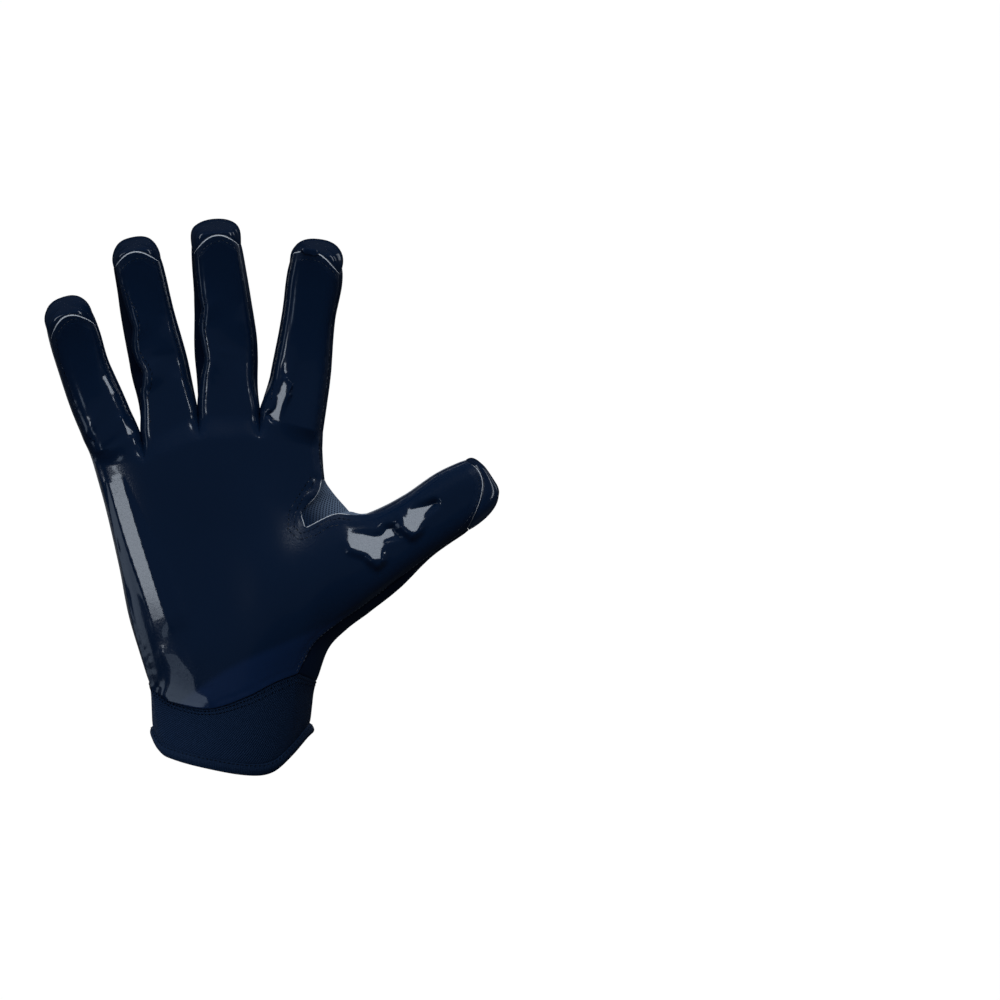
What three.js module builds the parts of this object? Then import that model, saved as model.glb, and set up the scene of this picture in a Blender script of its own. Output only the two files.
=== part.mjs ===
// A right-hand football receiver glove: glossy palm, plain back, side walls between the fingers,
// fingertip caps, a gusset in the thumb's web, a knit cuff and its hem binding.
// Millimetres. The fingers point along +Z, the thumb along +X and the palm faces -Y.
// The origin is the centre of the wrist opening.
import * as THREE from "three";

// Hand part of the glove
const palmBreadth = 93; // across the roots of the four fingers
const knuckleHeight = 130; // wrist opening to the roots of the fingers
const palmThickness = 32; // through the middle of the palm
const heelThickness = 40; // through the heel of the hand, at the cuff's seam
const webDepth = 10; // crotch between two fingers, from its front edge to its back edge

// Fingers
const littleLength = 61;
const ringLength = 75.6;
const middleLength = 77.3;
const indexLength = 75.3;
const thumbLength = 74.7;
const littleBreadth = 21.5;
const ringBreadth = 22;
const middleBreadth = 23.5;
const indexBreadth = 23.5;
const thumbBreadth = 26;
const fingerThickness = 21;
const thumbThickness = 23;
const fingerCurl = 14; // how far a fingertip bends forward of the palm
const thumbForward = 4; // how far the thumb lies forward of the palm's middle plane

// Cuff
const seamBreadth = 67.6; // across the seam between palm and cuff
const seamHeight = 28.6; // mean height of that seam above the wrist opening
const cuffBreadth = 63.6; // across the wrist opening
const cuffThickness = 42; // through the wrist opening
const hemWidth = 5;

// Walls and clearances
const palmWall = 1.2;
const backWall = 1.2;
const sideWall = 1.2;
const capWall = 1.4;
const cuffWall = 1.6;
const hemWall = 2.4;
const seamGap = 0.3; // between two pieces that are sewn together

// How a finger's section is split: the front panel reaches to this angle from straight ahead
const panelAngle = THREE.MathUtils.degToRad(62);
const railAside = Math.sin(panelAngle); // share of the half breadth where front and side meet
const railAhead = Math.cos(panelAngle); // share of the half thickness there

// Mesh fineness
const frontColumns = 6;
const backColumns = 4;
const sideColumns = 4;
const thumbRows = 10;
const capRows = 5;
const cuffRows = 5;
const hemRows = 2;
const gussetTip = 0.6; // how far up the palm the gusset's lower tip lies
const gussetTop = 0.81; // how far up the palm its seam with the index finger's side lies
const gussetRows = 3; // rows of the thumb's upper side that belong to the gusset
const fingerRows = [0, 0.03, 0.08, 0.16, 0.28, 0.4, 0.52, 0.64, 0.76, 0.88, 1];
const palmRows = [0, 0.1, 0.2, 0.3, 0.4, 0.5, gussetTip, 0.67, 0.74, gussetTop, 0.88, 0.94, 1];

// Finger roots. across: share of half the palm's breadth. up: share of the knuckle height.
// lean: degrees towards the thumb. crotchRise: the crotch on the finger's thumb side, above the mean
// of the two roots, as a share of the knuckle height.
const fingers = [
  {
    name: "little", length: littleLength, breadth: littleBreadth,
    across: -1.006, up: 0.942, lean: -18, crotchRise: -0.008,
    widths: [
      { at: 0, left: 0.98, right: 1.06 },
      { at: 0.3, left: 1.13, right: 0.92 },
      { at: 0.55, left: 1.14, right: 0.78 },
      { at: 0.75, left: 1.1, right: 0.83 },
      { at: 0.95, left: 0.98, right: 0.78 },
    ],
  },
  {
    name: "ring", length: ringLength, breadth: ringBreadth,
    across: -0.533, up: 1.006, lean: -10.4, crotchRise: 0.023,
    widths: [
      { at: 0, left: 0.9, right: 1.08 },
      { at: 0.3, left: 1.02, right: 1.1 },
      { at: 0.6, left: 1.01, right: 0.93 },
      { at: 0.8, left: 0.95, right: 0.88 },
      { at: 0.95, left: 0.93, right: 0.8 },
    ],
  },
  {
    name: "middle", length: middleLength, breadth: middleBreadth,
    across: -0.034, up: 1.04, lean: -3, crotchRise: 0.025,
    widths: [
      { at: 0, left: 0.94, right: 1 },
      { at: 0.35, left: 1, right: 1.16 },
      { at: 0.6, left: 0.91, right: 1.02 },
      { at: 0.8, left: 0.91, right: 0.88 },
      { at: 0.95, left: 0.88, right: 0.76 },
    ],
  },
  {
    name: "index", length: indexLength, breadth: indexBreadth,
    across: 0.533, up: 0.997, lean: 7.6, crotchRise: 0,
    widths: [
      { at: 0, left: 1.08, right: 1.04 },
      { at: 0.3, left: 1, right: 1.05 },
      { at: 0.6, left: 0.88, right: 0.95 },
      { at: 0.8, left: 0.88, right: 1.04 },
      { at: 0.95, left: 0.8, right: 0.9 },
    ],
  },
];

// Where a finger's panels stop and its cap starts, as shares of its length
const capSeam = { frontMiddle: 0.955, frontSide: 0.89, side: 0.875, backSide: 0.87, backMiddle: 0.9 };
const capTop = 0.985; // top of the cap, share of the finger's length
const capSquareness = 2.6; // 2 is a round tip, more is squarer
const curlStart = 0.12; // share of the finger that stays straight
const curlPower = 2.2;
const rootReach = 0.22; // share of the finger over which it takes its full section above the crotch
const fingerDepths = [
  { at: -0.1, depth: 1.08 },
  { at: 0.3, depth: 1 },
  { at: 0.6, depth: 0.95 },
  { at: 1, depth: 0.82 },
];

// The palm from its seam at the cuff (at 0) up to the finger roots (at 1).
// thick: share of the palm's half thickness, added to the heel's share of the heel's half thickness.
// ulnar and radial: share of the depth that is lost at the two edges of the front.
const palmDepths = [
  { at: 0, heel: 0.94, thick: 0, ulnar: 0.5, radial: 0.3 },
  { at: 0.2, heel: 0.5, thick: 0.55, ulnar: 0.5, radial: 0.1 },
  { at: 0.45, heel: 0.12, thick: 0.92, ulnar: 0.52, radial: 0.06 },
  { at: 0.6, heel: 0, thick: 1, ulnar: 0.53, radial: 0.2 },
  { at: 0.8, heel: 0, thick: 0.94, ulnar: 0.53, radial: 0.5 },
  { at: 1, heel: 0, thick: 0.86, ulnar: 0.53, radial: 0.53 },
];
const edgePower = 4; // how closely the palm's edges round off
const knuckleBlend = 0.72; // from here up the palm turns into four fingers
const rootBlend = 0.84; // from here up its two outer edges run into the outer fingers' sides
const footBlend = 0.22; // up to here its edges run on from the cuff's seam
const backDepthShare = 0.96;

// Soft mounds and hollows of the palm. across and up: 0 to 1. rise: share of the palm's thickness.
const moundFade = 0.1; // they fade out over this share at the seam and at the little finger's side
const mounds = [
  { across: 0.86, up: 0.36, wide: 0.2, tall: 0.24, rise: 0.07 },
  { across: 0.16, up: 0.34, wide: 0.2, tall: 0.28, rise: 0.05 },
  { across: 0.5, up: 0.5, wide: 0.22, tall: 0.3, rise: -0.08 },
];

// The palm's seam at the cuff. across: 0 at the little finger's side, 1 at the thumb's.
// front and back: its height there, share of the seam's mean height.
const seamLine = [
  { at: 0, front: 0.89, back: 0.95 },
  { at: 0.15, front: 0.7, back: 0.9 },
  { at: 0.4, front: 0.61, back: 0.86 },
  { at: 0.65, front: 0.77, back: 0.9 },
  { at: 0.85, front: 0.98, back: 1 },
  { at: 1, front: 1.1, back: 1.12 },
];
// Its corners and side middles, shares of half the seam's breadth, and the height of those middles
const seamEdge = { left: -0.935, right: 0.805, leftMiddle: -0.982, rightMiddle: 1.018, middleUp: 0.986 };

// Outline of the palm's outer edge, from the cuff's seam to the little finger.
// across: share of half the palm's breadth. up: share of the knuckle height.
const ulnarEdge = [
  { at: 0, across: -0.714, up: 0.217 },
  { at: 0.25, across: -0.877, up: 0.405 },
  { at: 0.5, across: -0.971, up: 0.572 },
  { at: 0.75, across: -1.083, up: 0.745 },
  { at: 0.9, across: -1.172, up: 0.862 },
];
const ulnarInset = 1.4; // the front panel's edge lies this far inside that outline

// Radial edge of the palm's front, from the cuff's seam to the index finger, with the gusset's notch.
// across: share of half the palm's breadth. up: share of the knuckle height.
const radialEdge = [
  { at: 0, across: 0.585, up: 0.242 },
  { at: 0.3, across: 0.645, up: 0.46 },
  { at: 0.6, across: 0.645, up: 0.689 },
  { at: 0.67, across: 0.618, up: 0.74 },
  { at: 0.74, across: 0.735, up: 0.785 },
  { at: 0.81, across: 0.79, up: 0.838 },
  { at: 0.9, across: 0.765, up: 0.91 },
];
const radialBackEdge = [
  { at: 0, across: 0.585, up: 0.242 },
  { at: 0.3, across: 0.66, up: 0.46 },
  { at: 0.6, across: 0.9, up: 0.705 },
  { at: 0.7, across: 0.84, up: 0.76 },
  { at: 0.81, across: 0.79, up: 0.838 },
  { at: 0.9, across: 0.765, up: 0.91 },
];
const radialOutline = [
  { at: 0.6, across: 1.02, up: 0.732 },
  { at: 0.67, across: 0.93, up: 0.77 },
  { at: 0.74, across: 0.862, up: 0.804 },
  { at: 0.81, across: 0.812, up: 0.838 },
  { at: 0.9, across: 0.785, up: 0.91 },
];

// The thumb, in its own axes. root: shares of half the palm's breadth and of the knuckle height.
// lean: degrees from straight up towards +X. Its rails hold along, a share of its length from its
// root, and aside, a share of its breadth, where minus is the upper side, towards the index finger.
const thumb = { length: thumbLength, across: 0.905, up: 0.535, lean: 57.2 };
const thumbLower = [
  { at: 0.12, along: -0.29, aside: 0.665 },
  { at: 0.25, along: -0.129, aside: 0.6 },
  { at: 0.4, along: 0.04, aside: 0.58 },
  { at: 0.6, along: 0.25, aside: 0.53 },
  { at: 0.8, along: 0.5, aside: 0.48 },
  { at: 1, along: 0.74, aside: 0.45 },
];
const thumbLowerOutline = [
  { at: 0.12, along: -0.24, aside: 0.86 },
  { at: 0.25, along: -0.1, aside: 0.76 },
  { at: 0.4, along: 0.05, aside: 0.73 },
  { at: 0.6, along: 0.26, aside: 0.67 },
  { at: 0.8, along: 0.5, aside: 0.53 },
  { at: 1, along: 0.74, aside: 0.5 },
];
const thumbUpper = [
  { at: 0.13, along: 0.18, aside: -0.84 },
  { at: 0.26, along: 0.28, aside: -0.63 },
  { at: 0.4, along: 0.39, aside: -0.48 },
  { at: 0.6, along: 0.56, aside: -0.45 },
  { at: 0.8, along: 0.76, aside: -0.47 },
  { at: 1, along: 0.93, aside: -0.4 },
];
const thumbUpperBack = [
  { at: 0.13, along: 0.24, aside: -0.62 },
  { at: 0.26, along: 0.31, aside: -0.52 },
  { at: 0.4, along: 0.39, aside: -0.46 },
  { at: 0.6, along: 0.56, aside: -0.44 },
  { at: 0.8, along: 0.76, aside: -0.45 },
  { at: 1, along: 0.92, aside: -0.39 },
];
const thumbUpperOutline = [
  { at: 0.13, along: 0.265, aside: -0.72 },
  { at: 0.26, along: 0.31, aside: -0.6 },
  { at: 0.4, along: 0.4, aside: -0.54 },
  { at: 0.6, along: 0.56, aside: -0.505 },
  { at: 0.8, along: 0.76, aside: -0.52 },
  { at: 1, along: 0.93, aside: -0.45 },
];
const thumbDepths = [
  { at: 0, depth: 1.1 },
  { at: 0.4, depth: 1.04 },
  { at: 0.7, depth: 0.98 },
  { at: 1, depth: 0.86 },
];
const thumbBlend = 0.55; // share of the thumb over which the palm turns into it
const thumbSeamBow = 0.1; // how far its front panel runs past its sides, share of its length
const thumbTop = 1; // top of its cap, share of its length

// The cuff's girth between the seam and the hem.
const cuffWaist = [
  { at: 0, girth: 1 },
  { at: 0.25, girth: 0.985 },
  { at: 0.6, girth: 0.99 },
  { at: 1, girth: 1 },
];
// The middle of the hem. at: share of half the cuff's breadth, from the little finger's side.
// front and back: its height above the wrist opening, share of the seam's height.
const hemLine = [
  { at: -1, front: 0.27, back: 0.27 },
  { at: -0.93, front: 0.13, back: 0.17 },
  { at: -0.8, front: 0.01, back: 0.08 },
  { at: -0.2, front: -0.16, back: -0.04 },
  { at: 0.3, front: -0.24, back: -0.08 },
  { at: 0.56, front: -0.19, back: -0.03 },
  { at: 0.78, front: 0.02, back: 0.1 },
  { at: 1, front: 0.31, back: 0.31 },
];
const hemRoll = 0.9; // how far the binding's rounded band stands out at its middle

// Small maths
const mix = THREE.MathUtils.lerp;
const smooth = (from, to, value) => THREE.MathUtils.smoothstep(value, from, to);

// A table's column as a smooth curve of its "at" column, through every row.
function read(rows, column, at) {
  if (at <= rows[0].at) return rows[0][column];
  const last = rows.length - 1;
  if (at >= rows[last].at) return rows[last][column];
  let i = 0;
  while (at > rows[i + 1].at) i += 1;
  const slope = (a, b) => (rows[b][column] - rows[a][column]) / (rows[b].at - rows[a].at);
  const step = rows[i + 1].at - rows[i].at;
  const k = (at - rows[i].at) / step;
  const slopeIn = slope(Math.max(i - 1, 0), i + 1) * step;
  const slopeOut = slope(i, Math.min(i + 2, last)) * step;
  const a = rows[i][column];
  const b = rows[i + 1][column];
  return (
    a * (1 + 2 * k) * (1 - k) ** 2 +
    slopeIn * k * (1 - k) ** 2 +
    b * k * k * (3 - 2 * k) +
    slopeOut * k * k * (k - 1)
  );
}

// An arch over s from -1 to 1: aside runs from -1 to 1 and rise from 0 up to 1 and back,
// along an arc of a circle that spans the given angle to each side.
function arch(s, angle) {
  return {
    aside: Math.sin(s * angle) / Math.sin(angle),
    rise: (Math.cos(s * angle) - Math.cos(angle)) / (1 - Math.cos(angle)),
  };
}

// A point of the hand from its place in the glove's flat outline and its depth, forward positive.
const placed = (flat, ahead) => new THREE.Vector3(flat.x, -ahead, flat.y);
const flatMix = (a, b, k) => new THREE.Vector2(mix(a.x, b.x, k), mix(a.y, b.y, k));

// A digit's own axes in the flat outline
for (const digit of [...fingers, thumb]) {
  const lean = THREE.MathUtils.degToRad(digit.lean);
  digit.root = new THREE.Vector2((digit.across * palmBreadth) / 2, digit.up * knuckleHeight);
  digit.onward = new THREE.Vector2(Math.sin(lean), Math.cos(lean));
  digit.aside = new THREE.Vector2(Math.cos(lean), -Math.sin(lean));
}
const flatOf = (digit, along, aside) =>
  digit.root
    .clone()
    .addScaledVector(digit.onward, along * digit.length)
    .addScaledVector(digit.aside, aside);
function inDigit(digit, flat) {
  const away = flat.clone().sub(digit.root);
  return { along: away.dot(digit.onward) / digit.length, aside: away.dot(digit.aside) };
}

// A point of a finger: along is a share of its length, aside and ahead are lengths. The finger bends
// forward past its straight stretch, and its sections turn with it.
function inFinger(finger, { along, aside, ahead }) {
  const bent = Math.max(0, (along - curlStart) / (1 - curlStart));
  const forward = fingerCurl * bent ** curlPower;
  const slope = (fingerCurl * curlPower * bent ** (curlPower - 1)) / ((1 - curlStart) * finger.length);
  const turn = Math.atan(slope);
  const flat = flatOf(finger, along - (ahead * Math.sin(turn)) / finger.length, aside);
  return placed(flat, forward + ahead * Math.cos(turn));
}
const inThumb = ({ along, aside, ahead }) => placed(flatOf(thumb, along, aside), ahead);

// Crotches between neighbouring fingers, in the flat outline
const crotches = fingers.slice(1).map((finger, i) => {
  const crotch = flatMix(fingers[i].root, finger.root, 0.5);
  crotch.y += fingers[i].crotchRise * knuckleHeight;
  return crotch;
});
fingers.forEach((finger, i) => {
  const halfBreadth = finger.breadth / 2;
  const outer = (side, share) => ({ along: 0, aside: side * share * halfBreadth });
  finger.leftRoot = i > 0 ? inDigit(finger, crotches[i - 1]) : outer(-1, finger.widths[0].left);
  finger.rightRoot = i < 3 ? inDigit(finger, crotches[i]) : outer(1, finger.widths[0].right);
  finger.leftOuter = i === 0;
  finger.rightOuter = i === 3;
});

// The rail where a finger's front or back meets its side, or its outline when face is 0.
// face: 1 front, -1 back. side: -1 left, 1 right. t: 1 at the crotch, 2 at the cap's seam.
function fingerRail(finger, side, face, t) {
  const start = side < 0 ? finger.leftRoot : finger.rightRoot;
  const isOuter = side < 0 ? finger.leftOuter : finger.rightOuter;
  const seam = [capSeam.backSide, capSeam.side, capSeam.frontSide][face + 1];
  const along = mix(start.along, seam, t - 1);
  const grown = smooth(0, rootReach, along - start.along);
  const column = side < 0 ? "left" : "right";
  const table = (side * read(finger.widths, column, along) * finger.breadth) / 2;
  const outline = isOuter ? table : mix(start.aside, table, grown);
  const tuck = face === 0 ? 1 : mix(isOuter ? railAside : 1, railAside, grown);
  const halfThickness = (read(fingerDepths, "depth", along) * fingerThickness) / 2;
  const full = halfThickness * railAhead;
  const ahead = face * mix(isOuter ? full : webDepth / 2, full, grown);
  return { along, aside: outline * tuck, ahead };
}

// A finger's front or back panel, s from -1 left to 1 right.
function fingerFace(finger, face, s, t) {
  const left = fingerRail(finger, -1, face, t);
  const right = fingerRail(finger, 1, face, t);
  const { aside, rise } = arch(s, panelAngle);
  const k = (aside + 1) / 2;
  const bow = face > 0 ? capSeam.frontMiddle - capSeam.frontSide : capSeam.backMiddle - capSeam.backSide;
  const along = mix(left.along, right.along, k) + bow * (t - 1) ** 2 * (1 - aside * aside);
  const crown = ((1 - railAhead) * read(fingerDepths, "depth", along) * fingerThickness) / 2;
  return {
    along,
    aside: mix(left.aside, right.aside, k),
    ahead: mix(left.ahead, right.ahead, k) + face * crown * rise,
  };
}

// A surface across a side wall, v from -1 front to 1 back, through the front, the middle and the back.
function across(front, middle, back, v) {
  const { aside } = arch(v, panelAngle);
  const sum = (key) =>
    (front[key] * (aside * aside - aside)) / 2 +
    middle[key] * (1 - aside * aside) +
    (back[key] * (aside * aside + aside)) / 2;
  return Object.fromEntries(Object.keys(front).map((key) => [key, sum(key)]));
}
const fingerWall = (finger, side, v, t) =>
  across(
    fingerRail(finger, side, 1, t),
    fingerRail(finger, side, 0, t),
    fingerRail(finger, side, -1, t),
    v,
  );

// Seam between palm and cuff
const seamSpot = (f, face) =>
  new THREE.Vector2(
    (mix(seamEdge.left, seamEdge.right, f) * seamBreadth) / 2,
    read(seamLine, face > 0 ? "front" : "back", f) * seamHeight,
  );
const seamSide = (share) => new THREE.Vector2((share * seamBreadth) / 2, seamEdge.middleUp * seamHeight);
const outlineSpot = (rows, at) =>
  new THREE.Vector2((read(rows, "across", at) * palmBreadth) / 2, read(rows, "up", at) * knuckleHeight);

const littleRoot = (face) => {
  const { along, aside } = fingerRail(fingers[0], -1, face, 1);
  return flatOf(fingers[0], along, aside);
};
const indexRoot = (face) => {
  const { along, aside } = fingerRail(fingers[3], 1, face, 1);
  return flatOf(fingers[3], along, aside);
};

// The palm's five rails in the flat outline, numbered from the little finger's side, t from 0 to 1.
function palmRail(number, face, t) {
  const foot = seamSpot(number / 4, face);
  if (number === 0) {
    const rail = outlineSpot(ulnarEdge, t);
    rail.x += ulnarInset;
    rail.lerp(foot, 1 - smooth(0, footBlend, t));
    return rail.lerp(littleRoot(face), smooth(rootBlend, 1, t));
  }
  if (number < 4) return flatMix(foot, crotches[number - 1], t);
  const rows = face > 0 ? radialEdge : radialBackEdge;
  const spot = outlineSpot(rows, t);
  const shift = foot.sub(outlineSpot(rows, 0)).multiplyScalar(1 - smooth(0, footBlend, t));
  return spot.add(shift).lerp(indexRoot(face), smooth(rootBlend, 1, t));
}
const ulnarOutline = (t) =>
  outlineSpot(ulnarEdge, t)
    .lerp(seamSide(seamEdge.leftMiddle), 1 - smooth(0, footBlend, t))
    .lerp(littleRoot(0), smooth(rootBlend, 1, t));
const radialWall = (t) => outlineSpot(radialOutline, t).lerp(indexRoot(0), smooth(rootBlend, 1, t));

// Depth of the palm's front or back at f across (0 to 1) and t up (0 to 1).
function palmDepth(f, t, face) {
  const share = (column) => read(palmDepths, column, t);
  const half = (share("heel") * heelThickness + share("thick") * palmThickness) / 2;
  const loss = share("ulnar") * (1 - f) ** edgePower + share("radial") * f ** edgePower;
  let depth = half * (1 - loss) * (face > 0 ? 1 : backDepthShare);
  if (face > 0) {
    for (const mound of mounds) {
      const away = ((f - mound.across) / mound.wide) ** 2 + ((t - mound.up) / mound.tall) ** 2;
      const fade = smooth(0, moundFade, t) * smooth(0, moundFade, f);
      depth += mound.rise * palmThickness * Math.exp(-away) * fade;
    }
  }
  return depth;
}
const knuckle = (t) => smooth(knuckleBlend, 1, t);
const palmRailDepth = (number, face, t) => {
  const finger = fingers[Math.min(number, 3)];
  const { ahead } = fingerRail(finger, number === 4 ? 1 : -1, face, 1);
  return mix(face * palmDepth(number / 4, t, face), ahead, knuckle(t));
};

// One of the palm's four strips, s from -1 to 1 across it; t runs on past 1 up the finger.
function strip(number, face, s, t) {
  const finger = fingers[number];
  if (t > 1) return inFinger(finger, fingerFace(finger, face, s, t));
  const { aside } = arch(s, panelAngle);
  const k = (aside + 1) / 2;
  const f = (number + k) / 4;
  const flat = flatMix(palmRail(number, face, t), palmRail(number + 1, face, t), k);
  const chord = mix(seamSpot(number / 4, face).y, seamSpot((number + 1) / 4, face).y, k);
  flat.y += (seamSpot(f, face).y - chord) * (1 - t) ** 2;
  const root = fingerFace(finger, face, s, 1).ahead;
  return placed(flat, mix(face * palmDepth(f, t, face), root, knuckle(t)));
}

// The palm's two side walls, before they run on up the fingers
function sideOf(front, middle, back, v) {
  const { x, y, z } = across(front, middle, back, v);
  return new THREE.Vector3(x, y, z);
}
function ulnarWall(v, t) {
  if (t > 1) return inFinger(fingers[0], fingerWall(fingers[0], -1, v, t));
  const front = placed(palmRail(0, 1, t), palmRailDepth(0, 1, t));
  const back = placed(palmRail(0, -1, t), palmRailDepth(0, -1, t));
  return sideOf(front, placed(ulnarOutline(t), 0), back, v);
}
function indexWall(v, t) {
  if (t > 1) return inFinger(fingers[3], fingerWall(fingers[3], 1, v, t));
  const front = placed(palmRail(4, 1, t), palmRailDepth(4, 1, t));
  const back = placed(palmRail(4, -1, t), palmRailDepth(4, -1, t));
  return sideOf(front, placed(radialWall(t), 0), back, v);
}

// The thumb's rails. end: "lower" or "upper". w runs from 0 at the palm to 1 at the cap's seam.
const thumbTables = {
  lower: [thumbLower, thumbLowerOutline, thumbLower],
  upper: [thumbUpperBack, thumbUpperOutline, thumbUpper],
};
function thumbFoot(end, face) {
  if (end === "upper") return face === 0 ? radialWall(gussetTip) : palmRail(4, face, gussetTip);
  return face === 0 ? seamSide(seamEdge.rightMiddle) : palmRail(4, face, 0);
}
function thumbRail(end, face, w) {
  const rows = thumbTables[end][face + 1];
  const foot = inDigit(thumb, thumbFoot(end, face));
  const start = { at: 0, along: foot.along, aside: foot.aside / thumbBreadth };
  const line = [start, ...rows];
  const depth = (read(thumbDepths, "depth", w) * thumbThickness) / 2;
  const own = thumbForward + face * depth * railAhead;
  const footAhead = face === 0 ? 0 : palmRailDepth(4, face, end === "upper" ? gussetTip : 0);
  return {
    along: read(line, "along", w),
    aside: read(line, "aside", w) * thumbBreadth,
    ahead: mix(footAhead, own, smooth(0, thumbBlend, w)),
  };
}

// The thumb's front or back, s from -1 lower to 1 upper. Its foot lies on the palm's radial edge.
function thumbFace(face, s, w) {
  const lower = thumbRail("lower", face, w);
  const upper = thumbRail("upper", face, w);
  const { aside, rise } = arch(s, panelAngle);
  const k = (aside + 1) / 2;
  const t = k * gussetTip;
  const foot = inDigit(thumb, palmRail(4, face, t));
  const first = thumbRail("lower", face, 0);
  const last = thumbRail("upper", face, 0);
  const fade = (1 - w) ** 2;
  const bow = thumbSeamBow * w * w * (1 - aside * aside);
  const depth = (read(thumbDepths, "depth", w) * thumbThickness) / 2;
  const own = thumbForward + face * depth * (railAhead + (1 - railAhead) * rise);
  return {
    along: mix(lower.along, upper.along, k) + (foot.along - mix(first.along, last.along, k)) * fade + bow,
    aside: mix(lower.aside, upper.aside, k) + (foot.aside - mix(first.aside, last.aside, k)) * fade,
    ahead: mix(palmRailDepth(4, face, t), own, smooth(0, thumbBlend, w)),
  };
}
const thumbWall = (end, v, w) =>
  across(thumbRail(end, 1, w), thumbRail(end, 0, w), thumbRail(end, -1, w), v);

// Sheets: grids of points with faces, before they get a thickness
const steps = (count, from, to) => Array.from({ length: count + 1 }, (_, i) => mix(from, to, i / count));

// A grid of quads over columns and rows of values. The points come from pointAt(column, row).
// turned: the faces' order is reversed, so that they look outward.
function grid(columns, rows, turned, pointAt) {
  const points = rows.flatMap((row) => columns.map((column) => pointAt(column, row)));
  const faces = [];
  const wide = columns.length;
  for (let j = 0; j + 1 < rows.length; j += 1) {
    for (let i = 0; i + 1 < wide; i += 1) {
      const a = j * wide + i;
      const quad = [a, a + 1, a + wide + 1, a + wide];
      if (turned) quad.reverse();
      faces.push([quad[0], quad[1], quad[2]], [quad[0], quad[2], quad[3]]);
    }
  }
  return { points, faces };
}

// Rings of points carried on to the next ring, closed round, and to a single tip where one is given.
function rings(loops, turned, tip) {
  const wide = loops[0].length;
  const points = loops.flat();
  const faces = [];
  for (let j = 0; j + 1 < loops.length; j += 1) {
    for (let i = 0; i < wide; i += 1) {
      const next = (i + 1) % wide;
      const quad = [j * wide + i, j * wide + next, (j + 1) * wide + next, (j + 1) * wide + i];
      if (turned) quad.reverse();
      faces.push([quad[0], quad[1], quad[2]], [quad[0], quad[2], quad[3]]);
    }
  }
  if (tip) {
    const last = (loops.length - 1) * wide;
    points.push(tip);
    for (let i = 0; i < wide; i += 1) {
      const face = [last + i, last + ((i + 1) % wide), points.length - 1];
      faces.push(turned ? face.reverse() : face);
    }
  }
  return { points, faces };
}

const keyOf = (point) => [point.x, point.y, point.z].map((v) => Math.round(v * 1e3)).join(",");

// Several grids joined into one sheet, where they share points.
function joined(...parts) {
  const points = [];
  const places = new Map();
  const faces = [];
  for (const part of parts) {
    const here = part.points.map((point) => {
      const key = keyOf(point);
      if (!places.has(key)) {
        places.set(key, points.length);
        points.push(point);
      }
      return places.get(key);
    });
    for (const face of part.faces) {
      const corners = face.map((i) => here[i]);
      if (new Set(corners).size === 3) faces.push(corners);
    }
  }
  return { points, faces };
}

const frontSteps = steps(frontColumns, -1, 1);
const backSteps = steps(backColumns, -1, 1);
const sideSteps = steps(sideColumns, -1, 1);
const upFinger = fingerRows.map((t) => 1 + t);
const wholeUp = [...palmRows, ...upFinger.slice(1)];
const alongThumb = steps(thumbRows, 0, 1);
const thumbSteps = palmRows
  .filter((t) => t <= gussetTip)
  .map((t) => {
    const aside = (2 * t) / gussetTip - 1;
    return Math.asin(aside * Math.sin(panelAngle)) / panelAngle;
  });

// Fingertip cap over a ring of the digit's own points: it rises from its seam and closes at its top.
function capOver(ring, top, place, turned) {
  const middle = { along: top, aside: 0, ahead: 0 };
  for (const key of ["aside", "ahead"]) {
    middle[key] = ring.reduce((sum, point) => sum + point[key], 0) / ring.length;
  }
  const loops = [];
  for (let j = 0; j < capRows; j += 1) {
    const angle = ((Math.PI / 2) * j) / capRows;
    const spread = Math.cos(angle) ** (2 / capSquareness);
    const lift = Math.sin(angle) ** (2 / capSquareness);
    loops.push(
      ring.map((point) =>
        place({
          along: mix(point.along, top, lift),
          aside: mix(middle.aside, point.aside, spread),
          ahead: mix(middle.ahead, point.ahead, spread),
        }),
      ),
    );
  }
  return rings(loops, turned, place(middle));
}
const backwards = (list) => [...list].reverse();
function fingerCap(finger) {
  const ring = [
    ...frontSteps.slice(0, -1).map((s) => fingerFace(finger, 1, s, 2)),
    ...sideSteps.slice(0, -1).map((v) => fingerWall(finger, 1, v, 2)),
    ...backwards(backSteps).slice(0, -1).map((s) => fingerFace(finger, -1, s, 2)),
    ...backwards(sideSteps).slice(0, -1).map((v) => fingerWall(finger, -1, v, 2)),
  ];
  return capOver(ring, capTop, (point) => inFinger(finger, point), false);
}
function thumbCap() {
  const ring = [
    ...thumbSteps.slice(0, -1).map((s) => thumbFace(1, s, 1)),
    ...sideSteps.slice(0, -1).map((v) => thumbWall("upper", v, 1)),
    ...backwards(thumbSteps).slice(0, -1).map((s) => thumbFace(-1, s, 1)),
    ...backwards(sideSteps).slice(0, -1).map((v) => thumbWall("lower", v, 1)),
  ];
  return capOver(ring, thumbTop, inThumb, true);
}

// Ring of the seam between palm and cuff, and the cuff below it
const numbers = [0, 1, 2, 3];
const seamRing = [
  ...numbers.flatMap((n) => frontSteps.slice(0, -1).map((s) => strip(n, 1, s, 0))),
  ...sideSteps.slice(0, -1).map((v) => inThumb(thumbWall("lower", v, 0))),
  ...backwards(numbers).flatMap((n) => backwards(backSteps).slice(0, -1).map((s) => strip(n, -1, s, 0))),
  ...backwards(sideSteps).slice(0, -1).map((v) => ulnarWall(v, 0)),
];
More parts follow.
